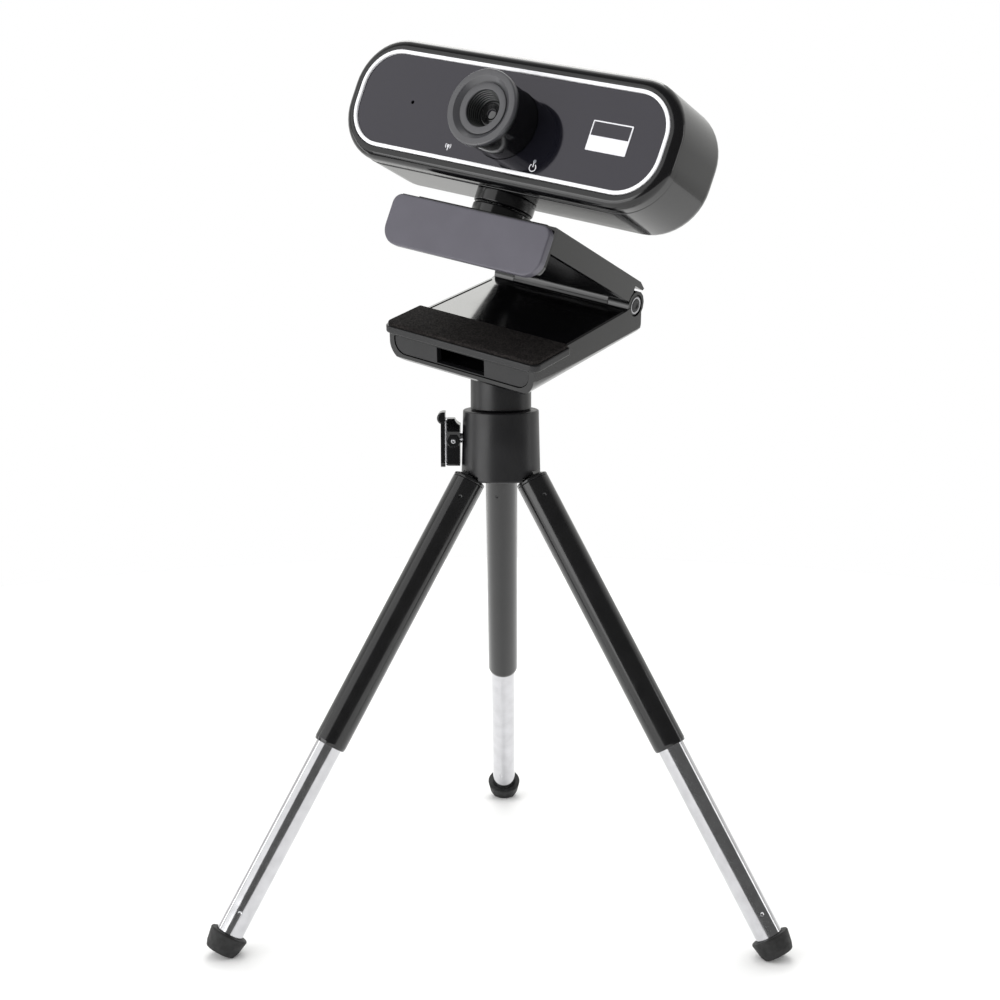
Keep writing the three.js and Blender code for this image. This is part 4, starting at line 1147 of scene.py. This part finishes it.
def build_head():
    refined("rear_housing", case_shape(), head, "head", GLOSS)
    refined("front_bezel", bezel_shape(), head, "head", GLOSS)
    refined("trim_ring", trim_shape(), head, "head", TRIM)
    refined("front_panel", panel_shape(), head, "head", PANEL)
    refined("badge_plate", badge_shape(), head, "head", BADGE)
    piece("badge_field", badge_field_shape(), head, "head", PANEL)
    piece("power_icon", power_icon_shape(), head, "head", BADGE)
    piece("microphone_icon", microphone_icon_shape(), head, "head", BADGE)
    refined("lens_barrel", barrel_shape(), lens, "head", GLOSS)
    refined("focus_ring", focus_ring_shape(), lens, "focus", RING)
    refined("lens_tube", lens_tube_shape(), lens, "focus", RING)
    refined("front_glass", glass_shape(), lens, "focus", GLASS)
    piece("retaining_ring", retaining_ring_shape(), lens, "focus", GLOSS)
    refined("upper_collar", upper_collar_shape(), head, "head", GLOSS)
    for node in ("swivel_bolt", "swivel_nut", "housing_screw_1", "housing_screw_2", "microphone"):
        kept(node, STEEL, 0.08)
    kept("cable_gland", RUBBER, 0.15)
    kept("lens_holder", SATIN)
    kept("image_sensor", GLASS, 0.06)
    kept("main_board", BOARD, 0.06)
    kept("light_pipe", CLEAR, 0.05)


# ---------------------------------------------------------------------------------------------------------
# Studio
# ---------------------------------------------------------------------------------------------------------

CAMERA = {
    "azimuth": 35.15, "elevation": 9.62, "distance": 0.4184, "target_height": 0.10285, "sideways": -0.00023,
}
SENSOR = 36.0
FOCAL_LENGTH = 60.84


def direction(azimuth, elevation):
    """Unit vector from the object; azimuth 0 is its front, and it grows towards the viewer's right."""
    a, e = math.radians(azimuth), math.radians(elevation)
    return Vector((math.sin(a) * math.cos(e), -math.cos(a) * math.cos(e), math.sin(e)))


def build_camera():
    azimuth = math.radians(CAMERA["azimuth"])
    right = Vector((math.cos(azimuth), math.sin(azimuth), 0))
    target = tripod_axis + Vector((0, 0, CAMERA["target_height"])) + right * CAMERA["sideways"]
    towards = direction(CAMERA["azimuth"], CAMERA["elevation"])
    data = bpy.data.cameras.new("camera")
    data.sensor_width = SENSOR
    data.lens = FOCAL_LENGTH
    data.clip_start = 0.01
    camera = bpy.data.objects.new("camera", data)
    bpy.context.scene.collection.objects.link(camera)
    camera.location = target + towards * CAMERA["distance"]
    camera.rotation_euler = towards.to_track_quat("Z", "Y").to_euler()
    bpy.context.scene.camera = camera


def softbox(name, azimuth, elevation, distance, width, height, radiance, colour=(1, 1, 1)):
    """A rectangular light that faces the object; radiance is what its surface shows in a reflection."""
    data = bpy.data.lights.new(name, "AREA")
    data.shape = "RECTANGLE"
    data.size = width
    data.size_y = height
    data.energy = radiance * math.pi * width * height
    data.color = colour
    light = bpy.data.objects.new(name, data)
    bpy.context.scene.collection.objects.link(light)
    towards = direction(azimuth, elevation)
    light.location = tripod_axis + Vector((0, 0, 0.13)) + towards * distance
    light.rotation_euler = towards.to_track_quat("Z", "Y").to_euler()


def build_floor():
    """Pale round table top, flat and wide enough for the object's reflections."""
    made = Finish("pale_floor", Specular_IOR_Level=0.1)
    made.clouded(90.0, (0.90, 0.90, 0.895), (0.92, 0.92, 0.915))
    made.rough(40.0, 0.85, 0.95)
    radius = 430.0
    mesh = mesh_of("floor", skin([circle(radius, -6, 128), circle(radius, -0.02, 128)]), MM)
    mesh.materials.append(made.material)
    floor = bpy.data.objects.new("floor", mesh)
    bpy.context.scene.collection.objects.link(floor)
    floor.location = tripod_axis


def build_world():
    """White surroundings; glossy surfaces see them dark on the camera's side, as in a studio."""
    world = bpy.data.worlds.new("studio")
    bpy.context.scene.world = world
    world.use_nodes = True
    nodes, links = world.node_tree.nodes, world.node_tree.links
    nodes.clear()
    around = nodes.new("ShaderNodeBackground")
    around.inputs["Color"].default_value = (1, 1, 1, 1)
    around.inputs["Strength"].default_value = 1.0
    mirrored = nodes.new("ShaderNodeBackground")
    mirrored.inputs["Color"].default_value = (1, 1, 0.98, 1)
    toward_back = nodes.new("ShaderNodeVectorMath")
    toward_back.operation = "DOT_PRODUCT"
    toward_back.inputs[1].default_value = -direction(CAMERA["azimuth"], -8)
    position = nodes.new("ShaderNodeTexCoord")
    fade = nodes.new("ShaderNodeMapRange")
    fade.interpolation_type = "SMOOTHSTEP"
    fade.inputs["From Min"].default_value = -0.2
    fade.inputs["From Max"].default_value = 0.6
    fade.inputs["To Min"].default_value = 0.12
    fade.inputs["To Max"].default_value = 0.8
    path = nodes.new("ShaderNodeLightPath")
    mix = nodes.new("ShaderNodeMixShader")
    output = nodes.new("ShaderNodeOutputWorld")
    links.new(position.outputs["Generated"], toward_back.inputs[0])
    links.new(toward_back.outputs["Value"], fade.inputs["Value"])
    links.new(fade.outputs["Result"], mirrored.inputs["Strength"])
    links.new(path.outputs["Is Glossy Ray"], mix.inputs["Fac"])
    links.new(around.outputs["Background"], mix.inputs[1])
    links.new(mirrored.outputs["Background"], mix.inputs[2])
    links.new(mix.outputs["Shader"], output.inputs["Surface"])


def build_studio():
    build_floor()
    build_world()
    softbox("panel_softbox", -30, 22, 0.8, 0.75, 0.6, 1.05)
    softbox("front_softbox", -21, -4, 0.8, 0.62, 0.42, 2.4)
    softbox("left_softbox", CAMERA["azimuth"] - 100, -4, 0.7, 0.10, 0.5, 2.6)
    softbox("right_softbox", CAMERA["azimuth"] + 92, 4, 0.8, 0.10, 0.5, 2.2)
    softbox("rear_softbox", CAMERA["azimuth"] - 179, 46, 0.85, 0.55, 0.45, 2.3, (1.0, 1.0, 0.97))
    softbox("top_softbox", CAMERA["azimuth"] - 180, 64, 0.8, 0.5, 0.5, 1.2)
    bpy.context.scene.view_settings.view_transform = "Standard"


# ---------------------------------------------------------------------------------------------------------
# Assembly
# ---------------------------------------------------------------------------------------------------------

build_camera()
build_studio()
build_tripod()
build_knob()
build_clamp()
build_head()
